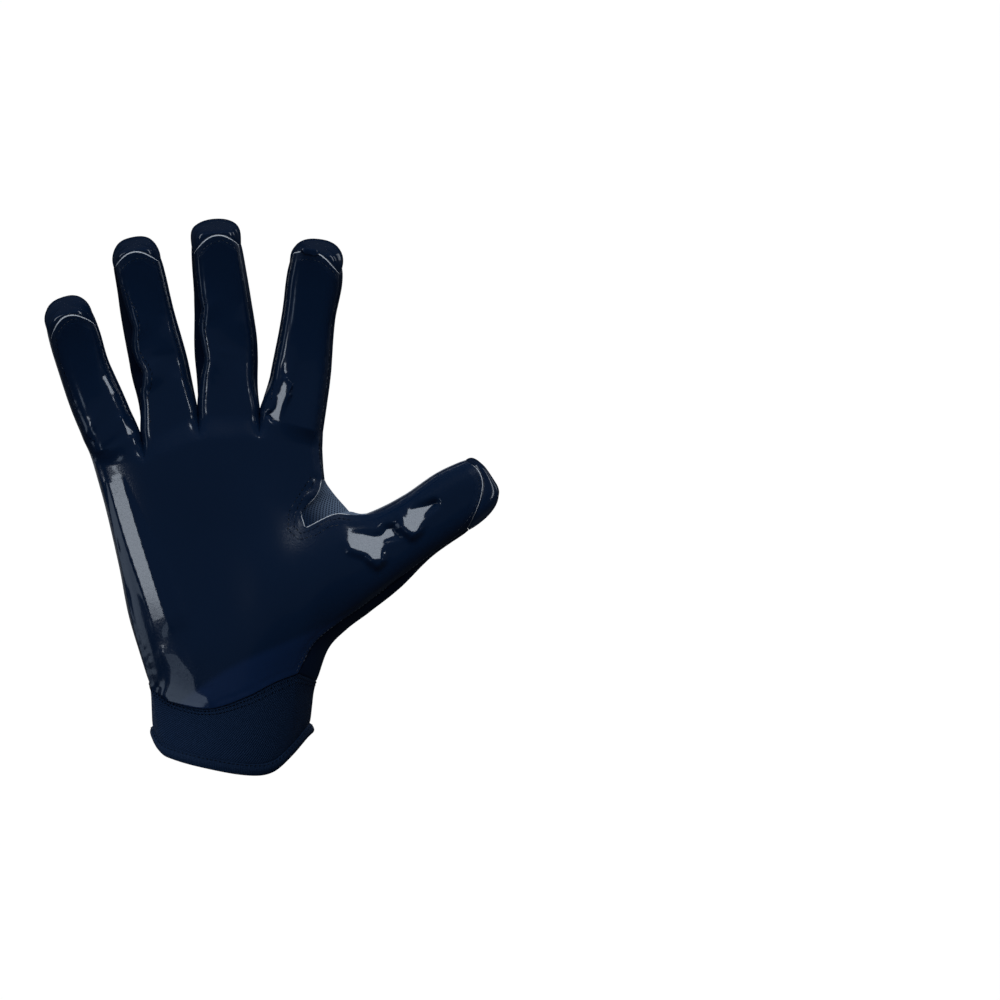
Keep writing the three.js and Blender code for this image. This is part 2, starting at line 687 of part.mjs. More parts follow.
// The wrist opening's ring point below a seam point, this far below the hem's top.
function hemSpot(seamPoint, below) {
  const angle = Math.atan2(-seamPoint.y / heelThickness, seamPoint.x / seamBreadth);
  const middle = read(hemLine, angle > 0 ? "front" : "back", Math.cos(angle)) * seamHeight;
  return new THREE.Vector3(
    (Math.cos(angle) * cuffBreadth) / 2,
    (-Math.sin(angle) * cuffThickness) / 2,
    middle + hemWidth / 2 - below,
  );
}
const cuffRings = steps(cuffRows, 0, 1).map((w) =>
  seamRing.map((point) => {
    const spot = point.clone().lerp(hemSpot(point, 0), w);
    const girth = read(cuffWaist, "girth", w);
    return spot.multiply(new THREE.Vector3(girth, girth, 1));
  }),
);
const hemRings = steps(hemRows, 0, 1).map((w) =>
  seamRing.map((point) => {
    const spot = hemSpot(point, hemWidth * w);
    const out = 1 + (hemRoll * 4 * w * (1 - w)) / (cuffBreadth / 2);
    return spot.multiply(new THREE.Vector3(out, out, 1));
  }),
);

// Every sheet of the glove
const rightSide = (number) => (v, t) => inFinger(fingers[number], fingerWall(fingers[number], 1, v, t));
const leftSide = (number) => (v, t) => inFinger(fingers[number], fingerWall(fingers[number], -1, v, t));
const fourchette = (number) =>
  joined(
    grid(sideSteps, upFinger, false, rightSide(number)),
    grid(sideSteps, upFinger, true, leftSide(number + 1)),
  );
const gussetUp = palmRows.filter((t) => t >= gussetTip && t <= gussetTop);
const indexUp = wholeUp.filter((t) => t >= gussetTop);
const thumbUpperSide = (v, w) => inThumb(thumbWall("upper", v, w));
const thumbLowerSide = (v, w) => inThumb(thumbWall("lower", v, w));

const pieces = [
  {
    name: "palm_panel", wall: palmWall, material: { color: 0x0f1a2b, roughness: 0.28, metalness: 0 },
    sheet: joined(
      ...numbers.map((n) => grid(frontSteps, wholeUp, false, (s, t) => strip(n, 1, s, t))),
      grid(thumbSteps, alongThumb, true, (s, w) => inThumb(thumbFace(1, s, w))),
    ),
  },
  {
    name: "back_panel", wall: backWall, material: { color: 0x101b2c, roughness: 0.7, metalness: 0 },
    sheet: joined(
      ...numbers.map((n) => grid(backSteps, wholeUp, true, (s, t) => strip(n, -1, s, t))),
      grid(thumbSteps, alongThumb, false, (s, w) => inThumb(thumbFace(-1, s, w))),
    ),
  },
  {
    name: "ulnar_side", wall: sideWall, material: { color: 0x121d2f, roughness: 0.5, metalness: 0 },
    sheet: joined(grid(sideSteps, wholeUp, true, ulnarWall)),
  },
  ...["little_ring", "ring_middle", "middle_index"].map((pair, i) => ({
    name: `fourchette_${pair}`, wall: sideWall, material: { color: 0x121d2f, roughness: 0.5, metalness: 0 },
    sheet: fourchette(i),
  })),
  {
    name: "index_side", wall: sideWall, material: { color: 0x121d2f, roughness: 0.5, metalness: 0 },
    sheet: joined(grid(sideSteps, indexUp, false, indexWall)),
  },
  {
    name: "thumb_gusset", wall: sideWall, material: { color: 0x222e40, roughness: 0.8, metalness: 0 },
    sheet: joined(
      grid(sideSteps, gussetUp, false, indexWall),
      grid(sideSteps, alongThumb.slice(0, gussetRows + 1), true, thumbUpperSide),
    ),
  },
  {
    name: "thumb_side_upper", wall: sideWall, material: { color: 0x121d2f, roughness: 0.5, metalness: 0 },
    sheet: joined(grid(sideSteps, alongThumb.slice(gussetRows), true, thumbUpperSide)),
  },
  {
    name: "thumb_side_lower", wall: sideWall, material: { color: 0x121d2f, roughness: 0.5, metalness: 0 },
    sheet: joined(grid(sideSteps, alongThumb, false, thumbLowerSide)),
  },
  ...fingers.map((finger) => ({
    name: `cap_${finger.name}`, wall: capWall, material: { color: 0x141f30, roughness: 0.4, metalness: 0 },
    sheet: joined(fingerCap(finger)),
  })),
  {
    name: "cap_thumb", wall: capWall, material: { color: 0x141f30, roughness: 0.4, metalness: 0 },
    sheet: joined(thumbCap()),
  },
  {
    name: "cuff", wall: cuffWall, material: { color: 0x0f1828, roughness: 0.9, metalness: 0 },
    sheet: joined(rings(cuffRings, true)),
  },
  {
    name: "hem_binding", wall: hemWall, material: { color: 0x0f1828, roughness: 0.8, metalness: 0 },
    sheet: joined(rings(hemRings, true)),
  },
];

// Outward directions at every point, shared by the pieces that meet there.
const outward = new Map();
for (const { sheet } of pieces) {
  for (const face of sheet.faces) {
    const [a, b, c] = face.map((i) => sheet.points[i]);
    const normal = b.clone().sub(a).cross(c.clone().sub(a));
    for (const point of [a, b, c]) {
      const key = keyOf(point);
      if (!outward.has(key)) outward.set(key, new THREE.Vector3());
      outward.get(key).add(normal);
    }
  }
}

// A closed wall from a sheet: its outer face is the sheet, its inner face lies one wall further in,
// and its free edges are closed by rims, held back from the seam by half the seam's gap. A rim's
// quads are split along the same diagonal on both sides of a seam, so that twisted rims stay parallel.
function thickened({ points, faces }, wall) {
  const edges = new Map();
  const inwards = points.map(() => new THREE.Vector3());
  for (const face of faces) {
    const centre = new THREE.Vector3();
    face.forEach((i) => centre.addScaledVector(points[i], 1 / 3));
    for (let i = 0; i < 3; i += 1) {
      const [a, b] = [face[i], face[(i + 1) % 3]];
      inwards[a].add(centre).sub(points[a]);
      if (edges.has(`${b},${a}`)) edges.delete(`${b},${a}`);
      else edges.set(`${a},${b}`, [a, b]);
    }
  }
  const alongEdge = new Map();
  for (const [a, b] of edges.values()) {
    const run = points[b].clone().sub(points[a]).normalize();
    for (const i of [a, b]) {
      if (!alongEdge.has(i)) alongEdge.set(i, new THREE.Vector3());
      alongEdge.get(i).add(run);
    }
  }
  const outer = points.map((point, i) => {
    if (!alongEdge.has(i)) return point;
    const run = alongEdge.get(i).normalize();
    const out = outward.get(keyOf(point)).clone().normalize();
    const pull = inwards[i].clone();
    pull.addScaledVector(run, -pull.dot(run)).addScaledVector(out, -pull.dot(out));
    return point.clone().addScaledVector(pull.normalize(), seamGap / 2);
  });
  const inner = points.map((point, i) =>
    outer[i].clone().addScaledVector(outward.get(keyOf(point)).clone().normalize(), -wall),
  );
  const all = [...outer, ...inner];
  const count = points.length;
  const index = faces.flat();
  for (const [a, b, c] of faces) index.push(a + count, c + count, b + count);
  for (const [a, b] of edges.values()) {
    const first = keyOf(points[a]) < keyOf(points[b]);
    if (first) index.push(b, a, b + count, a, a + count, b + count);
    else index.push(b, a, a + count, b, a + count, b + count);
  }
  const geometry = new THREE.BufferGeometry();
  geometry.setAttribute("position", new THREE.Float32BufferAttribute(all.flatMap((p) => p.toArray()), 3));
  geometry.setIndex(index);
  geometry.computeVertexNormals();
  return geometry;
}

const glove = new THREE.Group();
for (const { name, wall, material, sheet } of pieces) {
  const mesh = new THREE.Mesh(thickened(sheet, wall), new THREE.MeshStandardMaterial(material));
  mesh.name = name;
  glove.add(mesh);
}

export default glove;
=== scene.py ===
import math

import bpy
import numpy as np
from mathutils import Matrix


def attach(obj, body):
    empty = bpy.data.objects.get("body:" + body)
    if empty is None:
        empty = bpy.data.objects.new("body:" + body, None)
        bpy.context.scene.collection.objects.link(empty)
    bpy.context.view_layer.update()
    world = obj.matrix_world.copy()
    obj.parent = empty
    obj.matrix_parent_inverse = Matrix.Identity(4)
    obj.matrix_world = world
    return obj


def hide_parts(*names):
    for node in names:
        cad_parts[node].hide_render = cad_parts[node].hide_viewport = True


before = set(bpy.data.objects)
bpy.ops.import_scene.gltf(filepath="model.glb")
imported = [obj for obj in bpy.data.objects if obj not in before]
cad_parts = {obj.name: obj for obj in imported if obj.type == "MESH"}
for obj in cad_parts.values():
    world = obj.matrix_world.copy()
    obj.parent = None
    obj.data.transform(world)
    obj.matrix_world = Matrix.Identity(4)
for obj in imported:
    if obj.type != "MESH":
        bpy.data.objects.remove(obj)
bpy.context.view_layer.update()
print("frame loaded,", len(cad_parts), "solids")

# Everything is worked out in millimetres and put into the meshes in metres.
toMetres = 0.001

# The hand of the glove. Lengths in millimetres.
hand = {
    "palmBreadth": 93.0, "knuckleHeight": 130.0, "palmThickness": 32.0, "heelThickness": 40.0,
    "webDepth": 10.0, "fingerThickness": 21.0, "panelAngle": math.radians(62), "backShare": 0.96,
    "edgePower": 4, "knuckleBlend": 0.9, "rootBlend": 0.84, "footBlend": 0.22, "rootReach": 0.22,
    "ulnarInset": 1.4, "gussetTip": 0.6, "gussetTop": 0.81, "moundFade": 0.1,
    "depths": {  # from the cuff's seam at 0 to the finger roots at 1
        "at": [0, 0.2, 0.45, 0.6, 0.8, 1],
        "heel": [0.94, 0.5, 0.12, 0, 0, 0],
        "thick": [0, 0.55, 0.92, 1, 0.94, 0.86],
        "ulnar": [0.5, 0.5, 0.52, 0.53, 0.53, 0.53],
        "radial": [0.3, 0.1, 0.06, 0.2, 0.5, 0.53],
    },
    "mounds": [  # place across and up the palm, spread, rise as a share of its thickness
        (0.86, 0.36, 0.2, 0.24, 0.07), (0.16, 0.34, 0.2, 0.28, 0.05), (0.5, 0.5, 0.22, 0.3, -0.08),
    ],
    "ulnarEdge": {"at": [0, 0.25, 0.5, 0.75, 0.9], "across": [-0.714, -0.877, -0.971, -1.083, -1.172],
                  "up": [0.217, 0.405, 0.572, 0.745, 0.862]},
    "radialFront": {"at": [0, 0.3, 0.6, 0.67, 0.74, 0.81, 0.9],
                    "across": [0.585, 0.645, 0.645, 0.618, 0.735, 0.79, 0.765],
                    "up": [0.242, 0.46, 0.689, 0.74, 0.785, 0.838, 0.91]},
    "radialBack": {"at": [0, 0.3, 0.6, 0.7, 0.81, 0.9],
                   "across": [0.585, 0.66, 0.9, 0.84, 0.79, 0.765],
                   "up": [0.242, 0.46, 0.705, 0.76, 0.838, 0.91]},
    "radialOutline": {"at": [0.6, 0.67, 0.74, 0.81, 0.9], "across": [1.02, 0.93, 0.862, 0.812, 0.785],
                      "up": [0.732, 0.77, 0.804, 0.838, 0.91]},
}
# The fingers. Roots in halves of the palm's breadth and in knuckle heights, widths in halves of the
# finger's breadth, and along the finger from its root at 0 to its end at 1. tip: where the coated panel
# ends on its left, middle and right. leftInset: how far in the panel's left edge lies, in millimetres
fingerSet = {
    "curlReach": 14.0, "curlStart": 0.12, "curlPower": 2.2, "spareReach": 0.4,
    "depths": {"at": [-0.1, 0.3, 0.6, 1], "depth": [1.08, 1, 0.95, 0.82]},
    "digits": [
        {"name": "little", "tip": (0.805, 0.967, 0.819), "flatness": 2.0, "length": 61.0, "breadth": 21.5,
         "across": -1.006, "up": 0.942, "lean": -18, "crotchRise": -0.008,
         "widths": {"at": [0, 0.3, 0.55, 0.75, 0.95],
                    "left": [0.98, 1.13, 1.14, 1.1, 0.98],
                    "right": [1.06, 0.92, 0.78, 0.83, 0.78]}},
        {"name": "ring", "tip": (0.891, 0.976, 0.874), "flatness": 3.0, "length": 75.6, "breadth": 22.0,
         "across": -0.533, "up": 1.006, "lean": -10.4, "crotchRise": 0.023,
         "widths": {"at": [0, 0.3, 0.6, 0.8, 0.95],
                    "left": [0.9, 1.02, 1.01, 0.95, 0.93],
                    "right": [1.08, 1.1, 0.93, 0.88, 0.8]},
         "leftInset": {"at": [0.04, 0.12, 0.19, 0.24, 0.31, 0.38, 0.46, 0.55, 0.62, 0.75, 0.9],
                       "inset": [1.2, 1.3, 1.8, 3.8, 5.0, 3.0, 2.6, 4.2, 3.5, 2.1, 1.4]}},
        {"name": "middle", "tip": (0.853, 0.966, 0.888), "flatness": 3.0, "length": 77.3, "breadth": 23.5,
         "across": -0.034, "up": 1.04, "lean": -3, "crotchRise": 0.025,
         "widths": {"at": [0, 0.35, 0.6, 0.8, 0.95],
                    "left": [0.94, 1, 0.91, 0.91, 0.88],
                    "right": [1, 1.16, 1.02, 0.88, 0.76]},
         "leftInset": {"at": [0.04, 0.14, 0.21, 0.29, 0.38, 0.47, 0.565, 0.63, 0.75, 0.9],
                       "inset": [1.2, 1.6, 2.4, 4.2, 3.4, 2.1, 3.2, 2.2, 1.6, 1.4]}},
        {"name": "index", "tip": (0.94, 0.983, 0.864), "flatness": 3.2, "length": 75.3, "breadth": 23.5,
         "across": 0.533, "up": 0.997, "lean": 7.6, "crotchRise": 0,
         "widths": {"at": [0, 0.3, 0.6, 0.8, 0.95],
                    "left": [1.08, 1, 0.88, 0.88, 0.8],
                    "right": [1.04, 1.05, 0.95, 1.04, 0.9]}},
    ],
}
# The fingertip caps: where they start along the finger, their tops, and the powers of their outlines
capSet = {"side": 0.875, "backSide": 0.87, "backMiddle": 0.9, "bowPower": 0.7,
          "top": 0.985, "thumbTop": 1.0, "front": 5.5, "frontShare": (0.2, 0.8),
          "outline": {"little": 2.5, "ring": 2.7, "middle": 4.6, "index": 3.2, "thumb": 2.6}}
# The thumb. Its rails: places along it in its lengths, and aside from its middle line in its breadths
thumb = {
    "name": "thumb", "flatness": 1.8, "length": 74.7, "breadth": 26.0, "across": 0.905, "up": 0.535,
    "lean": 57.2, "thickness": 23.0, "forward": 4.0, "blend": 0.55, "bow": 0.1, "gussetEnd": 0.3,
    "depths": {"at": [0, 0.4, 0.7, 1], "depth": [1.1, 1.04, 0.98, 0.86]},
    "lower": {"at": [0.12, 0.25, 0.4, 0.6, 0.8, 1], "along": [-0.29, -0.129, 0.04, 0.25, 0.5, 0.74],
              "aside": [0.665, 0.6, 0.58, 0.53, 0.48, 0.45]},
    "lowerOutline": {"at": [0.12, 0.25, 0.4, 0.6, 0.8, 1], "along": [-0.24, -0.1, 0.05, 0.26, 0.5, 0.74],
                     "aside": [0.86, 0.76, 0.73, 0.67, 0.53, 0.5]},
    "upper": {"at": [0.13, 0.26, 0.4, 0.6, 0.8, 1], "along": [0.18, 0.28, 0.39, 0.56, 0.76, 0.93],
              "aside": [-0.84, -0.63, -0.48, -0.45, -0.47, -0.4]},
    "upperBack": {"at": [0.13, 0.26, 0.4, 0.6, 0.8, 1], "along": [0.24, 0.31, 0.39, 0.56, 0.76, 0.92],
                  "aside": [-0.62, -0.52, -0.46, -0.44, -0.45, -0.39]},
    "upperOutline": {"at": [0.13, 0.26, 0.4, 0.6, 0.8, 1], "along": [0.265, 0.31, 0.4, 0.56, 0.76, 0.93],
                     "aside": [-0.72, -0.6, -0.54, -0.505, -0.52, -0.45]},
}
# The cuff and its hem. Lengths in millimetres, lines in seam heights, edges in halves of the seam's breadth
cuffSet = {
    "seamBreadth": 67.6, "seamHeight": 28.6, "breadth": 63.6, "thickness": 42.0, "hemWidth": 5.0,
    "hemRoll": 0.9, "hemLap": 1.0, "lapAt": 0.1, "lapWide": 0.12,
    "seamLine": {"at": [0, 0.15, 0.4, 0.65, 0.85, 1],
                 "front": [0.89, 0.7, 0.61, 0.77, 0.98, 1.1],
                 "back": [0.95, 0.9, 0.86, 0.9, 1, 1.12]},
    "edge": {"left": -0.935, "right": 0.805, "leftMiddle": -0.982, "rightMiddle": 1.018, "middleUp": 0.986},
    "waist": {"at": [0, 0.25, 0.6, 1], "girth": [1, 0.985, 0.99, 1]},
    "hemLine": {"at": [-1, -0.93, -0.8, -0.2, 0.3, 0.56, 0.78, 1],
                "front": [0.27, 0.13, 0.01, -0.16, -0.24, -0.19, 0.02, 0.31],
                "back": [0.27, 0.17, 0.08, -0.04, -0.08, -0.03, 0.1, 0.31]},
}
# How fine the surfaces are: steps across a panel and up it. A finger's rows crowd towards its root
fineness = {"front": 36, "back": 16, "side": 14, "palm": 136, "finger": 106, "thumb": 104,
            "cap": 26, "cuff": 34, "hem": 10, "crowding": 1.15}
tiny = 1e-9


def mix(a, b, k):
    return a + (b - a) * k


def mixFlat(a, b, k):
    return a + (b - a) * np.asarray(k)[..., None]


def smooth(low, high, value):  # 3k² - 2k³ of the share k of the way from low to high
    k = np.clip((value - low) / (high - low), 0, 1)
    return k * k * (3 - 2 * k)


def bell(value, wide):  # e to the minus square of value over wide
    return np.exp(-((value / wide) ** 2))


def stack(*values):
    return np.stack(np.broadcast_arrays(*values), -1).astype(float)


def unit(vectors):
    return vectors / np.maximum(np.linalg.norm(vectors, axis=-1, keepdims=True), 1e-12)


def readTable(table, column, at):
    # cubic Hermite curve through the rows; a row's slope is that between its two neighbours
    x, y = np.asarray(table["at"], float), np.asarray(table[column], float)
    at = np.clip(np.asarray(at, float), x[0], x[-1])
    i = np.clip(np.searchsorted(x, at, side="right") - 1, 0, len(x) - 2)
    before, after = np.maximum(i - 1, 0), np.minimum(i + 2, len(x) - 1)
    step = x[i + 1] - x[i]
    k = (at - x[i]) / step
    slopeIn = (y[i + 1] - y[before]) / (x[i + 1] - x[before]) * step
    slopeOut = (y[after] - y[i]) / (x[after] - x[i]) * step
    return (y[i] * (1 + 2 * k) * (1 - k) ** 2 + slopeIn * k * (1 - k) ** 2
            + y[i + 1] * k * k * (3 - 2 * k) + slopeOut * k * k * (k - 1))


def arch(s):
    # aside = sin(s A) / sin A and rise = (cos(s A) - cos A) / (1 - cos A), A the panel's angle
    a = hand["panelAngle"]
    return np.sin(s * a) / math.sin(a), (np.cos(s * a) - math.cos(a)) / (1 - math.cos(a))


def flattened(rise, face, digit):  # 1 - (1 - rise)^n: the coated palm side lies flatter than the back
    return 1 - (1 - rise) ** (digit["flatness"] if face > 0 else 1)


def placed(flat, ahead):  # flat outline to x and z, depth forward to -y
    return stack(flat[..., 0], -ahead, flat[..., 1])


for digit in [*fingerSet["digits"], thumb]:
    lean = math.radians(digit["lean"])
    digit["root"] = np.array([digit["across"] * hand["palmBreadth"] / 2, digit["up"] * hand["knuckleHeight"]])
    digit["onward"] = np.array([math.sin(lean), math.cos(lean)])
    digit["aside"] = np.array([math.cos(lean), -math.sin(lean)])


def flatOf(digit, along, aside):
    return (digit["root"] + np.asarray(along)[..., None] * digit["length"] * digit["onward"]
            + np.asarray(aside)[..., None] * digit["aside"])


def inDigit(digit, flat):
    away = flat - digit["root"]
    return away @ digit["onward"] / digit["length"], away @ digit["aside"]


def inFinger(finger, place):
    # along is bent forward by reach * bent^power, and each section turns by the slope of that curve
    along, aside, ahead = np.moveaxis(place, -1, 0)
    run = 1 - fingerSet["curlStart"]
    bent = np.maximum(0, (along - fingerSet["curlStart"]) / run)
    power = fingerSet["curlPower"]
    forward = fingerSet["curlReach"] * bent ** power
    turn = np.arctan(fingerSet["curlReach"] * power * bent ** (power - 1) / (run * finger["length"]))
    flat = flatOf(finger, along - ahead * np.sin(turn) / finger["length"], aside)
    return placed(flat, forward + ahead * np.cos(turn))


def inThumb(place):
    along, aside, ahead = np.moveaxis(place, -1, 0)
    return placed(flatOf(thumb, along, aside), ahead)


digits = fingerSet["digits"]
railAside, railAhead = math.sin(hand["panelAngle"]), math.cos(hand["panelAngle"])
crotches = []
for before, finger in zip(digits, digits[1:]):
    crotch = (before["root"] + finger["root"]) / 2
    crotch[1] += before["crotchRise"] * hand["knuckleHeight"]
    crotches.append(crotch)
for i, finger in enumerate(digits):
    half = finger["breadth"] / 2
    finger["leftRoot"] = inDigit(finger, crotches[i - 1]) if i else (0, -finger["widths"]["left"][0] * half)
    finger["rightRoot"] = inDigit(finger, crotches[i]) if i < 3 else (0, finger["widths"]["right"][0] * half)
    finger["outerSide"] = {0: -1, 3: 1}.get(i, 0)


def fingerRail(finger, side, face, t):
    # line where a finger's front (face 1) or back (-1) meets its side, or its outline (face 0);
    # it runs straight in along from the crotch (t 1) to the cap's seam (t 2)
    startAlong, startAside = finger["leftRoot"] if side < 0 else finger["rightRoot"]
    isOuter = finger["outerSide"] == side
    seam = {1: finger["tip"][0 if side < 0 else 2], 0: capSet["side"], -1: capSet["backSide"]}[face]
    along = mix(startAlong, seam, t - 1)
    grown = smooth(0, hand["rootReach"], along - startAlong)
    table = side * readTable(finger["widths"], "left" if side < 0 else "right", along) * finger["breadth"] / 2
    outline = table if isOuter else mix(startAside, table, grown)
    share = railAside
    if side < 0 and face > 0 and "leftInset" in finger:
        share = 1 - readTable(finger["leftInset"], "inset", along) / np.abs(outline)
    tuck = 1 if face == 0 else mix(railAside if isOuter else 1, share, grown)
    half = readTable(fingerSet["depths"], "depth", along) * hand["fingerThickness"] / 2
    full, first = half * np.sqrt(1 - share ** 2), half * railAhead if isOuter else hand["webDepth"] / 2
    return stack(along, outline * tuck, face * mix(first, full, grown))


def fingerFace(finger, face, s, t):
    # across a front or back panel: the two rails, with a circle's arch between them; its end bows along
    # the finger by (t - 1)³ times a power of 1 - aside²
    left, right = fingerRail(finger, -1, face, t), fingerRail(finger, 1, face, t)
    aside, rise = arch(s)
    place = mixFlat(left, right, (aside + 1) / 2)
    first, top, last = finger["tip"]
    bow = top - (first + last) / 2 if face > 0 else capSet["backMiddle"] - capSet["backSide"]
    power = capSet["bowPower"] if face > 0 else 1
    place[..., 0] += bow * (t - 1) ** 3 * np.maximum(1 - aside * aside, 0) ** power
    half = readTable(fingerSet["depths"], "depth", place[..., 0]) * hand["fingerThickness"] / 2
    railHalf = np.abs(left[..., 2] + right[..., 2]) / 2
    spare = smooth(0, fingerSet["spareReach"], t - 1) * (railHalf - half * railAhead)
    place[..., 2] += face * ((1 - railAhead) * half - spare) * flattened(rise, face, finger)
    return place


def across(front, middle, back, v):  # the parabola through front, middle and back
    a = arch(v)[0][..., None]
    return front * (a * a - a) / 2 + middle * (1 - a * a) + back * (a * a + a) / 2


def fingerWall(finger, side, v, t):  # the parabola from the front rail over the outline to the back one
    return across(*(fingerRail(finger, side, face, t) for face in (1, 0, -1)), v)


def seamSpot(f, face):  # straight across from edge to edge, at the height of the seam's line
    edge = cuffSet["edge"]
    return stack(mix(edge["left"], edge["right"], f) * cuffSet["seamBreadth"] / 2,
                 readTable(cuffSet["seamLine"], "front" if face > 0 else "back", f) * cuffSet["seamHeight"])


def seamSide(share):
    return np.array([share * cuffSet["seamBreadth"] / 2, cuffSet["edge"]["middleUp"] * cuffSet["seamHeight"]])


def outlineSpot(table, at):
    return stack(readTable(table, "across", at) * hand["palmBreadth"] / 2,
                 readTable(table, "up", at) * hand["knuckleHeight"])


def outerRoot(number, side, face):
    rail = fingerRail(digits[number], side, face, np.array(1.0))
    return flatOf(digits[number], rail[..., 0], rail[..., 1])


def palmRail(number, face, t):
    # five lines up the palm: its two edges, and three straight ones to the crotches
    foot = seamSpot(np.array(number / 4), face)
    grown, root = 1 - smooth(0, hand["footBlend"], t), smooth(hand["rootBlend"], 1, t)
    if number == 0:
        rail = outlineSpot(hand["ulnarEdge"], t) + np.array([hand["ulnarInset"], 0])
        return mixFlat(mixFlat(rail, foot, grown), outerRoot(0, -1, face), root)
    if number < 4:
        return mixFlat(foot, crotches[number - 1], t)
    table = hand["radialFront"] if face > 0 else hand["radialBack"]
    shift = (foot - outlineSpot(table, 0.0)) * np.asarray(grown)[..., None]
    return mixFlat(outlineSpot(table, t) + shift, outerRoot(3, 1, face), root)


def ulnarOutline(t):  # the table's line, eased into the cuff's seam below and the finger's root above
    rail = mixFlat(outlineSpot(hand["ulnarEdge"], t), seamSide(cuffSet["edge"]["leftMiddle"]),
                   1 - smooth(0, hand["footBlend"], t))
    return mixFlat(rail, outerRoot(0, -1, 0), smooth(hand["rootBlend"], 1, t))


def radialOutline(t):  # the table's line, eased into the finger's root above
    return mixFlat(outlineSpot(hand["radialOutline"], t), outerRoot(3, 1, 0), smooth(hand["rootBlend"], 1, t))


def palmDepth(f, t, face):
    # half thickness less the edges' share of it, which grows with the fourth power towards them, and
    # on the front the mounds, each a bell in both directions
    share = {key: readTable(hand["depths"], key, t) for key in ("heel", "thick", "ulnar", "radial")}
    half = (share["heel"] * hand["heelThickness"] + share["thick"] * hand["palmThickness"]) / 2
    loss = share["ulnar"] * (1 - f) ** hand["edgePower"] + share["radial"] * f ** hand["edgePower"]
    depth = half * (1 - loss) * (1 if face > 0 else hand["backShare"])
    if face > 0:
        fade = smooth(0, hand["moundFade"], t) * smooth(0, hand["moundFade"], f)
        for a, up, wide, tall, rise in hand["mounds"]:
            depth = depth + rise * hand["palmThickness"] * bell(f - a, wide) * bell(t - up, tall) * fade
    return depth


def knuckle(t):
    return smooth(hand["knuckleBlend"], 1, t)


def palmRailDepth(number, face, t):  # the palm's depth, eased into that of the finger's rail
    side = 1 if number == 4 else -1
    ahead = fingerRail(digits[min(number, 3)], side, face, np.array(1.0))[..., 2]
    return mix(face * palmDepth(number / 4, t, face), ahead, knuckle(t))


def strip(number, face, s, t):
    # one of the palm's four strips for t up to 1, and its finger's panel past that
    finger = digits[number]
    onFinger = inFinger(finger, fingerFace(finger, face, s, np.maximum(t, 1)))
    low = np.minimum(t, 1)
    k = (arch(s)[0] + 1) / 2
    f = (number + k) / 4
    flat = mixFlat(palmRail(number, face, low), palmRail(number + 1, face, low), k)
    ends = [seamSpot(np.array((number + n) / 4), face)[..., 1] for n in (0, 1)]
    flat[..., 1] += (seamSpot(f, face)[..., 1] - mix(*ends, k)) * (1 - low) ** 2
    root = fingerFace(finger, face, s, np.ones_like(low))[..., 2]
    onPalm = placed(flat, mix(face * palmDepth(f, low, face), root, knuckle(low)))
    return np.where((t > 1)[..., None], onFinger, onPalm)


def palmWall(number, side, outline, v, t):
    # the parabola from the front rail over the outline, which has no depth, to the back rail for t up to
    # 1, and the finger's own wall past that
    finger = digits[number]
    onFinger = inFinger(finger, fingerWall(finger, side, v, np.maximum(t, 1)))
    low = np.minimum(t, 1)
    rail = 0 if side < 0 else 4
    front = placed(palmRail(rail, 1, low), palmRailDepth(rail, 1, low))
    back = placed(palmRail(rail, -1, low), palmRailDepth(rail, -1, low))
    onPalm = across(front, placed(outline(low), np.zeros_like(low)), back, v)
    return np.where((t > 1)[..., None], onFinger, onPalm)


def ulnarWall(v, t):
    return palmWall(0, -1, ulnarOutline, v, t)


def indexWall(v, t):
    return palmWall(3, 1, radialOutline, v, t)


def thumbFoot(end, face):
    if end == "upper":
        tip = np.array(hand["gussetTip"])
        return radialOutline(tip) if face == 0 else palmRail(4, face, tip)
    return seamSide(cuffSet["edge"]["rightMiddle"]) if face == 0 else palmRail(4, face, np.array(0.0))


def thumbRail(end, face, w):
    # a Hermite line from its foot on the palm's edge; its depth is eased from the palm's there into half
    # the thumb's thickness times the cosine of the panel's angle
    name = end + ("Outline" if face == 0 else "Back" if face < 0 and end == "upper" else "")
    rows = thumb[name]
    along, aside = inDigit(thumb, thumbFoot(end, face))
    line = {"at": [0, *rows["at"]], "along": [float(along), *rows["along"]],
            "aside": [float(aside) / thumb["breadth"], *rows["aside"]]}
    half = readTable(thumb["depths"], "depth", w) * thumb["thickness"] / 2
    own = thumb["forward"] + face * half * railAhead
    footT = np.array(hand["gussetTip"] if end == "upper" else 0.0)
    foot = 0 if face == 0 else palmRailDepth(4, face, footT)
    return stack(readTable(line, "along", w), readTable(line, "aside", w) * thumb["breadth"],
                 mix(foot, own, smooth(0, thumb["blend"], w)))


def thumbFace(face, s, w):
    # between the thumb's two rails; its foot lies on the palm's edge and fades out with (1 - w)²
    lower, upper = thumbRail("lower", face, w), thumbRail("upper", face, w)
    aside, rise = arch(s)
    k = (aside + 1) / 2
    t = k * hand["gussetTip"]
    footAlong, footAside = inDigit(thumb, palmRail(4, face, t))
    none = np.zeros_like(w)
    ends = mixFlat(thumbRail("lower", face, none), thumbRail("upper", face, none), k)
    fade = (1 - w) ** 2
    half = readTable(thumb["depths"], "depth", w) * thumb["thickness"] / 2
    own = thumb["forward"] + face * half * (railAhead + (1 - railAhead) * flattened(rise, face, thumb))
    place = mixFlat(lower, upper, k)
    bow = thumb["bow"] * w * w * (1 - aside * aside)
    return stack(place[..., 0] + (footAlong - ends[..., 0]) * fade + bow,
                 place[..., 1] + (footAside - ends[..., 1]) * fade,
                 mix(palmRailDepth(4, face, t), own, smooth(0, thumb["blend"], w)))


def thumbWall(end, v, w):  # the parabola from the front rail over the outline to the back one
    return across(*(thumbRail(end, face, w) for face in (1, 0, -1)), v)


